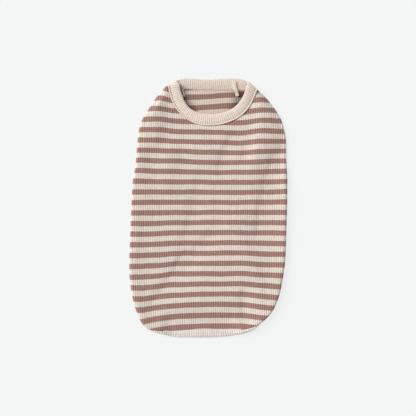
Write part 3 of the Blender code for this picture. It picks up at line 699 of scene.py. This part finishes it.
def add_piece(name, points, faces, fabric, material, painted_shade=None, second=None):
    """A piece of the vest from points in millimetres, faces of their numbers, the knit's
    own two coordinates at each point, and the painted shade at each, from 0 to 1, a painted
    highlight where negative.
    Points that coincide are made one. second is another material, and which faces have it."""
    points = np.asarray(points, float)
    _, first, same = np.unique(
        np.round(points, 4), axis=0, return_index=True, return_inverse=True
    )
    same = same.reshape(-1)
    kept, corners, in_second = [], [], []
    for number, face in enumerate(faces):
        ring = {}
        for vertex in face:
            ring.setdefault(int(same[vertex]), vertex)
        if len(ring) > 2:
            kept.append(list(ring))
            corners.extend(ring.values())
            in_second.append(bool(second) and number in second[1])
    mesh = bpy.data.meshes.new(name)
    mesh.from_pydata((points[first] * MM).tolist(), [], kept)
    uv = mesh.uv_layers.new(name="fabric")
    uv.data.foreach_set("uv", np.asarray(fabric, np.float32)[corners].ravel())
    if painted_shade is not None:
        shade = mesh.attributes.new("painted_shade", "FLOAT", "POINT")
        shade.data.foreach_set("value", painted_shade[first])
    mesh.materials.append(material)
    if second:
        mesh.materials.append(second[0])
        mesh.polygons.foreach_set("material_index", np.array(in_second, np.int32))
    mesh.shade_smooth()
    mesh.set_sharp_from_angle(angle=SHARP_FROM)
    mesh.validate()
    return add_object(name, mesh)


# One face of a wall of cloth: rows and columns of points, the knit's two coordinates at each,
# and the places of the columns.
Face = namedtuple("Face", "points fabric columns")


def dress(piece, slot, *nodes):
    """Attaches a piece to the root body and hides the model's parts that it stands for. slot
    is not used.
    """
    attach(piece, "root")
    if nodes:
        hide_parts(*nodes)
    return piece


def grid_faces(ids, turned=False):
    """The quads of a grid of vertex numbers, facing the other way if turned."""
    if turned:
        ids = ids[:, ::-1]
    corners = np.stack([ids[:-1, :-1], ids[1:, :-1], ids[1:, 1:], ids[:-1, 1:]], -1)
    return corners.reshape(-1, 4).tolist()


def tube_faces(ids):
    """The faces of a tube through rings of vertex numbers, and its two ends."""
    closed = np.concatenate([ids, ids[:, :1]], 1)
    return grid_faces(closed) + [ids[0].tolist(), ids[-1][::-1].tolist()]


def strip_between(first, second, first_at, second_at):
    """Triangles that join two rows of vertices, walked by their places along the rows."""
    faces = []
    i = j = 0
    while i < len(first) - 1 or j < len(second) - 1:
        at_end = j == len(second) - 1
        if at_end or (i < len(first) - 1 and first_at[i + 1] <= second_at[j + 1]):
            faces.append((first[i], first[i + 1], second[j]))
            i += 1
        else:
            faces.append((first[i], second[j + 1], second[j]))
            j += 1
    return faces


def add_wall(name, outer, inner, material, inner_material, painted_shade_at=None):
    """A wall of cloth between two faces, closed all round its rim. Each face has a grid of
    points, its map and the places of its columns; the two have the same rows."""
    outer_id = np.arange(outer.points[..., 0].size).reshape(outer.points.shape[:2])
    inner_id = np.arange(inner.points[..., 0].size).reshape(inner.points.shape[:2])
    inner_id = inner_id + outer_id.size
    faces = grid_faces(outer_id)
    outer_count = len(faces)
    faces += grid_faces(inner_id, turned=True)
    second = (inner_material, range(outer_count, len(faces)))
    rows = np.arange(len(outer_id))
    for end in (0, -1):
        rim = strip_between(outer_id[end], inner_id[end], outer.columns, inner.columns)
        faces += [face[::-1] for face in rim] if end else rim
        rim = strip_between(outer_id[:, end], inner_id[:, end], rows, rows)
        faces += rim if end else [face[::-1] for face in rim]
    points = np.concatenate([face.points.reshape(-1, 3) for face in (outer, inner)])
    fabric = np.concatenate([face.fabric.reshape(-1, 2) for face in (outer, inner)])
    painted_shade = painted_shade_at(*points.T) if painted_shade_at else None
    piece = add_piece(name, points, faces, fabric, material, painted_shade, second)
    return dress(piece, "striped_rib", name)


def knit_map(wales, courses):
    """The knit's two coordinates at each point of a ring of sections."""
    return np.stack(np.broadcast_arrays(wales[:, None], courses), -1)


def closed_both_ways(grid):
    grid = np.concatenate([grid, grid[:1]])
    return np.concatenate([grid, grid[:, :1]], 1)


def add_ring(name, sections, fabric, material, shade=None):
    """A skin through sections of equal count, round a closed ring. The sections' rings of
    points are closed too, and the knit's map has one more row and column for that."""
    sections = closed_both_ways(np.asarray(sections))
    ids = np.arange(sections.shape[0] * sections.shape[1]).reshape(sections.shape[:2])
    fabric = np.asarray(fabric).reshape(-1, 2)
    painted_shade = None if shade is None else closed_both_ways(shade).reshape(-1)
    points = sections.reshape(-1, 3)
    piece = add_piece(name, points, grid_faces(ids), fabric, material, painted_shade)
    return dress(piece, "cream_rib", name)


# ---- the back panel ----

COLUMNS_PER_RIB = 6
OUTERMOST_WALE = 37  # past the rolled side folds at the widest place
FLAP_COLUMNS = 12
YOKE_BASE, YOKE_ROWS = 76.0, 24  # rows from the neckline down to a level
HEM_BASE, HEM_ROWS = -96.0, 14  # and from a level down to the hem seam
LEVEL_STEP = 2.0
TIP_LEFT, TIP_RIGHT = 122.0, 119.2  # top of the side folds, beside the neck binding
FLAP_TIP_LEFT, FLAP_TIP_RIGHT = 119.0, 117.4  # the same under the vest
NECK_LAP = 0.1  # how far the panel reaches under the neck binding's sewn edge
TUCK_DEPTH, TUCK_REACH = 0.75, 1.3  # how the panel sinks into the seam at the neck
HEM_TUCK_DEPTH, HEM_TUCK_REACH = 0.45, 1.0  # and into the seam at the hem
LEAST_HEIGHT = 0.6  # over the surface, where it sinks into a seam
LEAST_FLAP = 0.6  # from its side fold to its edge under the vest


def tip_curve(wales, side):
    """Heights of the panel's top end past the neckline, over the side fold and under."""
    tip, under = (TIP_LEFT, FLAP_TIP_LEFT) if side < 0 else (TIP_RIGHT, FLAP_TIP_RIGHT)
    out = np.abs(wales) * rib_pitch(tip)
    turned = smoothstep(flat_reach(tip, side), rolled_reach(tip, side), out)
    return between(tip, under, turned)


def foot_curve(wales, side):
    """Heights of its foot past the hem seam, over the side fold and under."""
    corner, under = (HEM_SEAM[0], BELLY_HEM[0]) if side < 0 else (HEM_SEAM[-1], BELLY_HEM[-1])
    out = np.abs(wales) * rib_pitch(corner.y)
    turned = smoothstep(abs(corner.x), rolled_reach(under.y, side), out)
    return between(corner.y, under.y, turned)


def neck_edge():
    """The neckline, which the near half of the binding covers."""
    line = neck_ring()
    near = int(np.argmax(line[:, 2] < NECK_FAR[0].sewn_z + 0.2))
    edge = line[:near, :2]
    edge = edge + NECK_LAP * sideways(edge, -1)
    return edge[np.concatenate([[True], np.diff(edge[:, 0]) > 0])]


def hem_edge():
    return path_through(HEM_SEAM, 1.0)


def panel_rows(wales):
    """Heights of every row of the panel at each wale, from its top end to its foot."""
    ends = []
    for seam, past_seam in ((neck_edge(), tip_curve), (hem_edge(), foot_curve)):
        at = seam[:, 0] / rib_pitch(seam[:, 1])
        end = np.interp(wales, at, seam[:, 1])
        end = np.where(wales < at[0], past_seam(wales, -1), end)
        ends.append(np.where(wales > at[-1], past_seam(wales, 1), end))
    top, foot = ends
    yoke = (np.arange(YOKE_ROWS) / YOKE_ROWS)[:, None] ** 1.35
    hems = 1 - (1 - (np.arange(1, HEM_ROWS + 1) / HEM_ROWS)[:, None]) ** 1.3
    levels = np.arange(YOKE_BASE, HEM_BASE - 0.1, -LEVEL_STEP)[:, None]
    return np.concatenate(
        [
            between(top, YOKE_BASE, yoke),
            np.broadcast_to(levels, (len(levels), len(wales))),
            between(HEM_BASE, foot, hems),
        ]
    )


def panel_point(out, y, side, lift):
    """The point of the panel that lies out millimetres from the middle, measured along
    the cloth at a height y, moved off the outer face by lift."""
    flat = flat_reach(y, side)
    radius = roll_height(y, side) / 2
    turn = np.clip((out - flat) / radius, 0, math.pi)
    under = np.maximum(out - flat - math.pi * radius, 0)
    x = side * np.where(out <= flat, out, flat + (radius + lift) * np.sin(turn) - under)
    z = np.where(out <= flat, top_height(x, y) + lift, radius + (radius + lift) * np.cos(turn))
    return np.stack([x, y, z], -1), turn


def seam_tuck(x, y, line, depth, reach):
    """How far the panel sinks beside a seam line."""
    near = np.full(x.shape, 1e9)
    for seam_x, seam_y in line:
        near = np.minimum(near, (x - seam_x) ** 2 + (y - seam_y) ** 2)
    return depth * np.exp(-near / reach**2)


def back_panel_face(wales, inset, ribbed):
    """One face of the back panel's wall, from its left edge under the vest to its right,
    and its knit map."""
    rows = panel_rows(wales)
    limit = np.where(wales < 0, rolled_reach(rows, -1), rolled_reach(rows, 1))
    out = np.minimum(np.abs(wales) * rib_pitch(rows), limit)
    rib = RIB_RELIEF * rib_wave(wales) if ribbed else 0.0
    halves = []
    for side in (-1, 1):
        _, turn = panel_point(out, rows, side, -inset)
        lift = rib * (1 - smoothstep(0.5 * math.pi, 0.8 * math.pi, turn)) - inset
        halves.append(panel_point(out, rows, side, lift)[0])
    face = np.where((wales < 0)[None, :, None], *halves)
    on_top = face[..., 2] > WALL * 1.5
    sunk = np.zeros(rows.shape)
    for area, seam, depth, reach in (
        (face[..., 1] > YOKE_BASE, neck_edge()[::4], TUCK_DEPTH, TUCK_REACH),
        (face[..., 1] < HEM_BASE, hem_edge(), HEM_TUCK_DEPTH, HEM_TUCK_REACH),
    ):
        sunk[area] += seam_tuck(*face[area][:, :2].T, seam, depth, reach)
    face[..., 2] -= np.where(on_top, np.minimum(sunk, face[..., 2] - LEAST_HEIGHT), 0)
    across = np.sign(wales) * out / rib_pitch(rows)
    flap_places = np.arange(1, FLAP_COLUMNS + 1)
    flaps, maps = [], []
    for side in (-1, 1):
        y = rows[:, 0 if side < 0 else -1].copy()
        past_hole = int(np.argmax(y < LEG_TOP))
        y[past_hole - 1 : past_hole + 1] = LEG_TOP + 0.1, LEG_TOP - 0.1
        start = flat_reach(y, side)
        length = np.maximum(start - under_edge(y, side), LEAST_FLAP)
        shares = (flap_places[::-1] if side < 0 else flap_places) / FLAP_COLUMNS
        x = side * (start[:, None] - shares * length[:, None])
        flaps.append(np.stack(np.broadcast_arrays(x, y[:, None], float(inset)), -1))
        past = (rolled_reach(y, side) + start)[:, None] - np.abs(x)
        maps.append(side * past / rib_pitch(y)[:, None])
    face = np.concatenate([flaps[0], face, flaps[1]], 1)
    across = np.concatenate([maps[0], across, maps[1]], 1)
    stripe = stripe_number(STRIPES, STRIPE_PLACES, face[..., 0], face[..., 1])
    places = np.concatenate([wales[0] - flap_places[::-1], wales, wales[-1] + flap_places])
    return Face(face, np.stack([across, stripe], -1), places)


def build_back_panel():
    count = 2 * OUTERMOST_WALE * COLUMNS_PER_RIB
    wales = np.linspace(-OUTERMOST_WALE, OUTERMOST_WALE, count + 1)
    outer = back_panel_face(wales, 0.0, True)
    inner = back_panel_face(wales[::COLUMNS_PER_RIB], WALL, False)
    return add_wall("back_panel", outer, inner, striped_outside, striped_inside)


# ---- the belly panel ----

BELLY_RIB_PITCH = 2.28
BELLY_WALES = 26  # to each side of the middle
BELLY_RIBS_SHOWN = 0.8  # of the back's rib relief
BELLY_FIRST, BELLY_LAST, BELLY_STEP = 104.0, -70.0, 3.0  # its levels
BELLY_TOP_ROWS = 8  # from its top edge down to the first level
BELLY_FOOT_ROWS = (0.4, 1.0)  # from the last level down to its hem
BELLY_TOP, BELLY_FOOT = 117.5, -86.5  # where its sides end
BELLY_TOP_LAP, BELLY_HEM_LAP = 0.05, 0.7  # under the neck binding and the hem band
LEFT_SHADE, RIGHT_SHADE, GAP_SHADE = 0.46, 0.62, 0.8  # painted shade of its inside, seen in the neck
BELLY_LIFT, BELLY_LIFT_REACH = 0.2, 1.2  # along its top edge, except at the far left


def within_belly(x, y):
    """Places across the vest, kept between the belly panel's sides."""
    return np.clip(x, -belly_side(y, -1), belly_side(y, 1))


def painted_shade_at(x, y, z):
    """Painted shade on the inside: along the near binding's free edge at the left,
    in the neck's right corner, and where the far binding lifts off at the left."""
    edge = [(s.free_x, s.free_y) for s in NECK_NEAR[:6]]
    off, _ = beside_line(x, y, edge)
    left = np.exp(-((off / 5.5) ** 2)) * smoothstep(-8.0, -16.0, x)
    right = smoothstep(21.0, 35.0, x + 0.3 * (118.0 - y))
    gap = smoothstep(-12.0, -24.0, x) * smoothstep(116.8, 117.9, y)
    corners = np.maximum(LEFT_SHADE * left, RIGHT_SHADE * right) * smoothstep(78.0, 96.0, y)
    return np.maximum(corners, GAP_SHADE * gap) * (z > WALL / 3)


def build_belly_panel():
    """The lower layer, whose ribbed inside shows through the neck."""
    far = sorted((s.sewn_x, s.sewn_y) for s in NECK_FAR if abs(s.sewn_x) < SIDE_SEAM_X)
    hem = path_through(BELLY_HEM, 1.0)
    hem = hem[np.abs(hem[:, 0]) < SIDE_SEAM_X]
    at_holes = [LEG_TOP + 0.1, LEG_TOP - 0.1, LEG_FOOT + 1.0, LEG_FOOT]
    level = np.append(np.arange(BELLY_FIRST, BELLY_LAST - 0.1, -BELLY_STEP), at_holes)
    level = np.sort(level)[::-1, None]
    near_top = (np.arange(BELLY_TOP_ROWS) / BELLY_TOP_ROWS)[:, None]
    near_foot = np.array(BELLY_FOOT_ROWS)[:, None]
    faces = []
    for columns, relief, inset in ((5, RIB_RELIEF, 0.0), (1, 0.0, WALL)):
        wales = np.linspace(-BELLY_WALES, BELLY_WALES, 2 * BELLY_WALES * columns + 1)
        x = wales * BELLY_RIB_PITCH
        top = np.interp(within_belly(x, BELLY_TOP), *zip(*far)) - BELLY_TOP_LAP
        foot = np.interp(within_belly(x, BELLY_FOOT), *hem.T) - BELLY_HEM_LAP
        y = np.concatenate(
            [
                between(top, BELLY_FIRST, near_top),
                np.broadcast_to(level, (len(level), len(x))),
                between(BELLY_LAST, foot, near_foot),
            ]
        )
        limited = within_belly(x, y)
        wale = limited / BELLY_RIB_PITCH
        z = WALL - inset + relief * (rib_wave(wale) - 0.5) * BELLY_RIBS_SHOWN
        if not inset:
            at_top = np.exp(-(((top - y) / BELLY_LIFT_REACH) ** 2))
            z += BELLY_LIFT * at_top * smoothstep(-26.0, -8.0, limited)
        points = np.stack([limited, y, z], -1)
        stripe = stripe_number(INSIDE_STRIPES, INSIDE_PLACES, limited, y)
        faces.append(Face(points, np.stack([wale, stripe], -1), wales))
    return add_wall("belly_panel", *faces, striped_inside, striped_outside, painted_shade_at)


# ---- the neck binding ----

# Its section, from the sewn edge over the outer face to the free edge and back inside: the
# share of its width, the height over its middle, how much of the ribs shows, and its painted
# shade, a painted highlight where negative, as on the lip.
BINDING_SECTION = table(
    "across up rib shade",
    (0, 0, 0, 0),
    (-0.03, 0.70, 0.1, 0),
    (-0.02, 1.40, 0.3, -0.05),
    (0.02, 1.78, 0.4, -0.1),
    (0.065, 1.80, 0.4, -0.1),
    (0.10, 1.40, 0.3, 0),
    (0.12, 0.86, 0, 0.25),
    (0.145, 0.90, 0.2, 0.2),
    (0.19, 1.16, 0.9, 0),
    (0.30, 1.32, 1, 0),
    (0.48, 1.38, 1, 0),
    (0.64, 1.36, 1, 0),
    (0.78, 1.26, 1, 0),
    (0.89, 1.02, 0.9, 0.04),
    (0.965, 0.60, 0.6, 0.12),
    (1, 0, 0.4, 0.2),
    (0.965, -0.58, 0.5, 0.16),
    (0.89, -0.98, 0.8, 0.12),
    (0.76, -1.18, 1, 0.1),
    (0.55, -1.25, 1, 0.12),
    (0.34, -1.15, 1, 0.12),
    (0.16, -0.85, 0.9, 0.1),
    (0.05, -0.5, 0.5, 0),
    (0.01, -0.25, 0.1, -0.06),
)
SECTIONS_PER_RIB = 8
NECK_BINDING_WIDTH = 11.5
LIP_SHADE, INSIDE_SHADE = 0.8, 0.42  # painted shade under the far binding's edge and over its inside, where it lifts at the left


def binding_frames():
    """Sewn edge, width and outward normal all round the neck, evenly spaced along the
    binding's middle, and the rib number there."""
    line = neck_ring()
    line = np.concatenate([line, line[:1]])
    distance = travelled((line[:, :3] + line[:, 3:]) / 2)
    count = round(distance[-1] / NECK_RIB_PITCH) * SECTIONS_PER_RIB
    at = np.linspace(0, distance[-1], count + 1)[:-1]
    line = np.stack([np.interp(at, distance, axis) for axis in line.T], 1)
    sewn, free = line[:, :3], line[:, 3:]
    middle, width = (sewn + free) / 2, free - sewn
    run = np.roll(middle, -2, axis=0) - np.roll(middle, 2, axis=0)
    normal = unit(np.cross(run, width))
    return sewn, width, normal, np.arange(count) / SECTIONS_PER_RIB


def build_neck_binding():
    sewn, width, normal, rib = binding_frames()
    across, up, ribbed, shade = np.array(BINDING_SECTION).T
    crest = BAND_RIB_RELIEF * rib_wave(rib)[:, None] * ribbed
    out = (up + np.sign(up) * crest)[..., None]
    points = sewn[:, None] + across[:, None] * width[:, None] + out * normal[:, None]
    points[..., 2] = np.maximum(points[..., 2], 0.02)
    section = np.stack([across * NECK_BINDING_WIDTH, up], 1)
    around = travelled(np.concatenate([section, section[:1]]))
    fabric = knit_map(np.append(rib, rib[-1] + 1 / SECTIONS_PER_RIB), around)
    x, z = sewn[:, :1], sewn[:, 2:]
    # Painted shade under the far binding's edge and over its inside at the left end, where it
    # lifts off the chest.
    on_chest = smoothstep(2.6, 1.6, z) * (up < 0)
    lip = smoothstep(-5.0, -26.0, x) * on_chest * smoothstep(0.14, 0.04, across)
    inside = smoothstep(-17.0, -26.0, x) * on_chest * smoothstep(0.75, 0.1, across)
    shade = np.maximum(shade + LIP_SHADE * lip, INSIDE_SHADE * inside)
    return add_ring("neck_binding", points, fabric, neck_rib, shade)


# ---- the hem band ----

HEM_POINTS = 30  # round its section
HEM_OUTER_POINTS = 4  # of its shape, from the seam over its outer face
HEM_FOLDED_WIDTH = 4.0  # how much of it shows from above in its folded shape
HEM_CORNER_FROM, HEM_CORNER_FULL = 1.9, 0.8  # widths at which it turns to its corner shape
UNDER_SPACING = 2.0  # between its sections under the vest


def hem_section(edge, inward, visible, turned):
    """The hem band's section at an outline point, on the back's side of the vest."""
    corner = float(smoothstep(HEM_CORNER_FROM, HEM_CORNER_FULL, visible))
    section = []
    for i, shape in enumerate(HEM_SHAPE):
        folded_in = shape.folded_in
        if i == 0:
            folded_in = visible
        elif i < HEM_OUTER_POINTS:
            folded_in *= min(1.0, visible / HEM_FOLDED_WIDTH)
        if shape.folded_up < BAND and shape.folded_in > HEM_FOLDED_WIDTH:  # what went under
            folded_in += HEM_FOLDED_WIDTH - visible
        reach = between(folded_in, shape.corner_in, corner)
        height = between(shape.folded_up, shape.corner_up, corner)
        reach = between(shape.flat_in * visible, reach, turned)
        section.append((*(edge + inward * reach), between(shape.flat_up, height, turned)))
    return section


def build_hem_band():
    outline = path_through(BOTTOM_OUTLINE, 0.5)
    inwards = sideways(outline, 1)
    seam = path_through(HEM_SEAM, HEM_RIB_PITCH / SECTIONS_PER_RIB)
    seam = (seam + (SEAM + 0.1) * sideways(seam, -1))[SECTIONS_PER_RIB:-SECTIONS_PER_RIB]
    sections, ribs = [], []
    for i, point in enumerate(seam):
        distance = np.hypot(*(outline - point).T)
        near = int(np.argmin(distance))
        turned = float(hem_turned(point[0]))
        sections.append(hem_section(outline[near], inwards[near], distance[near], turned))
        ribs.append(i / SECTIONS_PER_RIB)
    under = path_through(BELLY_HEM, UNDER_SPACING)[::-1]
    for edge, inward in zip(under, sideways(under, 1)):
        sections.append([(*(edge + inward * s.under_in), s.under_up) for s in HEM_SHAPE])
        ribs.append(ribs[-1] + UNDER_SPACING / HEM_RIB_PITCH)
    points = np.array([path_through(s, closed=True, count=HEM_POINTS) for s in sections])
    ribs = np.array(ribs)
    along_hem = np.roll(points, -1, axis=0) - np.roll(points, 1, axis=0)
    around = np.roll(points, -1, axis=1) - np.roll(points, 1, axis=1)
    normal = unit(np.cross(around, along_hem))
    outward = np.sign((normal * (points - points.mean(1, keepdims=True))).sum((1, 2)))
    normal *= outward[:, None, None]
    seen = smoothstep(0.8, 1.8, points[..., 2]) * smoothstep(-0.2, 0.3, normal[..., 2])
    on_seam = (np.arange(len(points)) < len(seam)).astype(float)[:, None]
    crest = BAND_RIB_RELIEF * rib_wave(ribs)[:, None] * seen * on_seam
    points = points + normal * crest[..., None]
    points[..., 2] = np.maximum(points[..., 2], 0.0)
    courses = np.linspace(0, COURSES_ROUND, HEM_POINTS + 1)
    fabric = knit_map(np.append(ribs, ribs[-1] + 1), courses)
    painted_fold_light = np.where(normal[..., 1] < 0, 0.2, 0.12) * smoothstep(-0.3, 0.2, normal[..., 2])
    shade = painted_fold_light * normal[..., 1] * on_seam  # painted highlight where the band faces down the vest, painted shade where it faces up towards the seam
    return add_ring("hem_band", points[::-1], fabric[::-1], hem_rib, shade[::-1])


# ---- the leg bindings ----

# Their section, from the sewn edge over the outer face to the free edge and back: the
# share of their width and of their height.
LEG_SECTION = [
    (0, 0.5), (0.03, 0.8), (0.12, 0.98), (0.3, 1), (0.5, 1), (0.7, 1), (0.88, 0.97),
    (0.97, 0.8), (1, 0.5), (0.98, 0.22), (0.92, 0.04), (0.5, 0), (0.08, 0.04), (0.01, 0.22),
]
LEG_PARTS, LEG_PARTS_PER_RIB = 384, 4
LEG_RIB_RELIEF = 0.1


def leg_oval(side, across):
    """Points round a leg hole, at shares of the binding's width from its sewn edge."""
    angles = turns_round(LEG_PARTS)[:, None]
    inset = SEAM + across * LEG_BINDING_WIDTH
    x = side * (LEG_CENTRE_X + np.cos(angles) * (LEG_HALF_WIDTH - inset))
    return x, LEG_CENTRE_Y + np.sin(angles) * (LEG_HALF_LENGTH - inset)


def build_leg_binding(name, side):
    across, up = np.array(LEG_SECTION).T
    x, y = leg_oval(side, across)
    ribs = np.arange(LEG_PARTS + 1) / LEG_PARTS_PER_RIB
    relief = LEG_RIB_RELIEF * smoothstep(0.7, 0.9, up)
    z = up * LEG_BINDING_HEIGHT - relief + rib_wave(ribs[:-1])[:, None] * relief
    points = np.stack([x, y, z], -1)
    fabric = knit_map(ribs, np.linspace(0, COURSES_ROUND, len(across) + 1))
    return add_ring(name, points if side > 0 else points[::-1], fabric, leg_rib)


# ---- seams and stitches ----

THREAD = 0.34  # thickness of the sewing thread
STITCH_PITCH, STITCH_LENGTH = 2.25, 1.65
SERGE_PITCH = 0.7  # from one turn of the overlock thread to the next
THREAD_SIDES, TAIL_SIDES = 6, 16
TAIL_STEP = 0.35
TAIL_HALF_WIDTH, TAIL_HALF_HEIGHT = 2.0, 0.5
TAIL_NARROWING = 0.5  # of its half width, from one end to the other
CHAIN_OFFSET = 1.45  # from the middle of the seam tail to the chain along its left edge
BINDING_STITCH_ACROSS, BINDING_STITCH_UP = 0.132, 0.86  # in the groove beside the seam
LEG_STITCH_ACROSS = 0.15


def thread_runs(paths, radius):
    """Round threads along several paths, their ends drawn to a point."""
    turn = turns_round(THREAD_SIDES)[:, None]
    points, faces = [], []
    for path in paths:
        run = unit(np.gradient(path, axis=0))
        side = unit(np.cross(run, (0.02, 0.01, 1.0)))  # level, but for an upright thread
        up = np.cross(side, run)
        ring = side[:, None] * np.cos(turn) + up[:, None] * np.sin(turn)
        thick = np.full((len(path), 1, 1), radius)
        thick[[0, -1]] *= 0.3
        ids = np.arange(len(path) * THREAD_SIDES).reshape(-1, THREAD_SIDES)
        faces += tube_faces(ids + len(points) * THREAD_SIDES)
        points.extend(path[:, None] + ring * thick)
    return np.concatenate(points), faces


def add_threads(name, paths, radius, material):
    points, faces = thread_runs(paths, radius)
    piece = add_piece(name, points, faces, np.zeros((len(points), 2)), material)
    return dress(piece, "cream_rib")


def stitch_paths(line, up):
    """Stitches along a line of evenly spaced points, each bowed up a little in the middle."""
    step = np.linalg.norm(line[1] - line[0])
    pitch, length = round(STITCH_PITCH / step), round(STITCH_LENGTH / step)
    bow = np.sin(np.linspace(0, math.pi, length + 1))[:, None] * 0.12
    starts = range(0, len(line) - length - 1, pitch)
    paths = [line[i : i + length + 1] + bow * up[i : i + length + 1] for i in starts]
    return [np.maximum(path, [-1e3, -1e3, THREAD / 2]) for path in paths]


def build_neck_topstitch():
    sewn, width, normal, _ = binding_frames()
    line = sewn + BINDING_STITCH_ACROSS * width + BINDING_STITCH_UP * normal
    line[:, 2] = np.maximum(line[:, 2], 0.2)
    paths = stitch_paths(line, normal)
    return add_threads("neck_topstitch", paths, THREAD / 2, seam_thread)


def build_leg_topstitch(name, side):
    x, y = leg_oval(side, LEG_STITCH_ACROSS)
    paths = []
    for height, up in ((LEG_BINDING_HEIGHT + 0.02, 0.6), (0.19, 0.0)):
        line = np.concatenate([x, y, np.full(x.shape, height)], 1)
        paths += stitch_paths(line, np.broadcast_to([0.0, 0.0, up], line.shape))
    return add_threads(name, paths, THREAD / 2, seam_thread)


def build_seam_tail():
    """The serged end of the binding's closing seam, inside the neck at the right."""
    path = path_through(SEAM_TAIL, TAIL_STEP)
    number = np.arange(len(path))[:, None]
    from_end = np.minimum(number, len(path) - 1 - number)
    size = np.minimum(1.0, 0.72 + 0.28 * from_end / 3)  # rounded off at both ends
    turn = turns_round(TAIL_SIDES)
    round_x, round_z = np.cos(turn), np.sin(turn)
    half_width = (TAIL_HALF_WIDTH - TAIL_NARROWING * number / len(path)) * size
    wide = np.sign(round_x) * np.abs(round_x) ** 0.6 * half_width
    high = np.sign(round_z) * np.abs(round_z) ** 0.7 * TAIL_HALF_HEIGHT * size
    points = np.repeat(path[:, None], TAIL_SIDES, axis=1)
    points[..., :2] += sideways(path[:, :2], 1)[:, None] * wide[..., None]
    points[..., 2] += high
    ids = np.arange(high.size).reshape(high.shape)
    fabric = np.stack(np.broadcast_arrays(np.arange(TAIL_SIDES) / 4, number * TAIL_STEP), -1)
    skin = (points.reshape(-1, 3), tube_faces(ids[:, ::-1]), fabric.reshape(-1, 2))
    piece = add_piece("neck_seam_tail", *skin, serged_thread)
    return dress(piece, "cream_rib", "neck_seam_tail")


def serging(path, half_width, half_height):
    """An overlock thread's way round the two edges of a flat strip."""
    distance = travelled(path)
    turns = distance[-1] / SERGE_PITCH
    angle = np.arange(0, 2 * math.pi * turns, 2 * math.pi / 20)
    at = angle / (2 * math.pi) * SERGE_PITCH
    loop = np.stack([np.interp(at, distance, axis) for axis in path.T], 1)
    wide = half_width * np.cos(angle) * (1 + 0.08 * np.sin(angle * 0.37))
    loop[:, :2] += sideways(loop[:, :2], 1) * wide[:, None]
    loop[:, 2] += half_height * np.sin(angle)
    return loop


def build_serging():
    """The overlock thread round the seam tail, with its chain along the left edge."""
    tail = path_through(SEAM_TAIL, 0.25)
    chain = tail.copy()
    chain[:, :2] -= sideways(tail[:, :2], 1) * CHAIN_OFFSET
    chain[:, 2] += 0.45 + 0.12 * np.sin(np.arange(len(chain)) * 1.7)
    paths = [serging(tail, 1.75, 0.5), chain]
    return add_threads("neck_serging", paths, 0.24, serged_thread)


def build_sliver():
    """The sliver of seam allowance at the left, inside the neck, with its overlock thread."""
    path = path_through(SLIVER, 0.3)
    paths = [path, serging(path, 0.75, 0.3)]
    return add_threads("neck_seam_sliver", paths, 0.26, serged_thread)


# ---- camera, light and floor ----

FRAME_WIDTH = 416.0  # millimetres that the picture's width spans on the vest
VIEW_CENTRE_X = -0.3
LENS, SENSOR = 85.0, 36.0
CLOTH_LEVEL = 3.0  # where the picture is that wide
WINDOW_ANGLE = math.radians(38)  # how wide the window is, as the vest sees it
FLOOR_HALF = 8.0  # in metres
FLOOR_DROP = 0.15  # so that the cloth's underside doesn't lie in the floor's own plane


def add_camera():
    camera = add_object("camera", bpy.data.cameras.new("camera"))
    camera.data.lens = LENS
    camera.data.sensor_width = SENSOR
    height = FRAME_WIDTH * LENS / SENSOR + CLOTH_LEVEL
    camera.location = (VIEW_CENTRE_X * MM, 0.0, height * MM)
    camera.data.clip_start = 0.05
    bpy.context.scene.camera = camera


def add_window_light(direction, strength):
    """Soft, even light from the upper left, as from a tall window far away."""
    light = bpy.data.lights.new("window", "SUN")
    light.energy = strength
    light.angle = WINDOW_ANGLE
    light.color = (1.0, 0.995, 0.985)
    lamp = add_object("window", light)
    lamp.location = direction
    lamp.rotation_euler = (-lamp.location).to_track_quat("-Z", "Y").to_euler()


def add_daylight(strength):
    world = bpy.data.worlds.new("studio")
    world.use_nodes = True
    tree = world.node_tree
    set_inputs(tree, tree.nodes["Background"], {"Color": (1, 1, 1, 1), "Strength": strength})
    bpy.context.scene.world = world


def add_floor():
    mesh = bpy.data.meshes.new("floor")
    turns = ((-1, -1), (1, -1), (1, 1), (-1, 1))
    corners = [(x * FLOOR_HALF, y * FLOOR_HALF, 0) for x, y in turns]
    mesh.from_pydata(corners, [], [(0, 1, 2, 3)])
    floor = add_object("floor", mesh)
    floor.location.z = -FLOOR_DROP * MM
    material, tree = new_material("pale_floor")
    pale = {
        "Base Color": (0.15, 0.154, 0.152, 1.0),
        "Emission Color": (0.97, 1.0, 0.99, 1.0),
        "Emission Strength": 0.765,
        "Roughness": 0.9,
        "Specular IOR Level": 0.1,
    }
    set_inputs(tree, tree.nodes["Principled BSDF"], pale)
    mesh.materials.append(material)


add_camera()
add_daylight(0.42)
add_window_light((-0.85, 0.5, 0.68), 3.15)
add_floor()
bpy.context.scene.view_settings.view_transform = "Standard"

back_panel = build_back_panel()
belly_panel = build_belly_panel()
neck_binding = build_neck_binding()
hem_band = build_hem_band()
leg_binding_left = build_leg_binding("leg_binding_left", -1)
leg_binding_right = build_leg_binding("leg_binding_right", 1)
build_seam_tail()
build_neck_topstitch()
build_leg_topstitch("leg_topstitch_left", -1)
build_leg_topstitch("leg_topstitch_right", 1)
build_serging()
build_sliver()
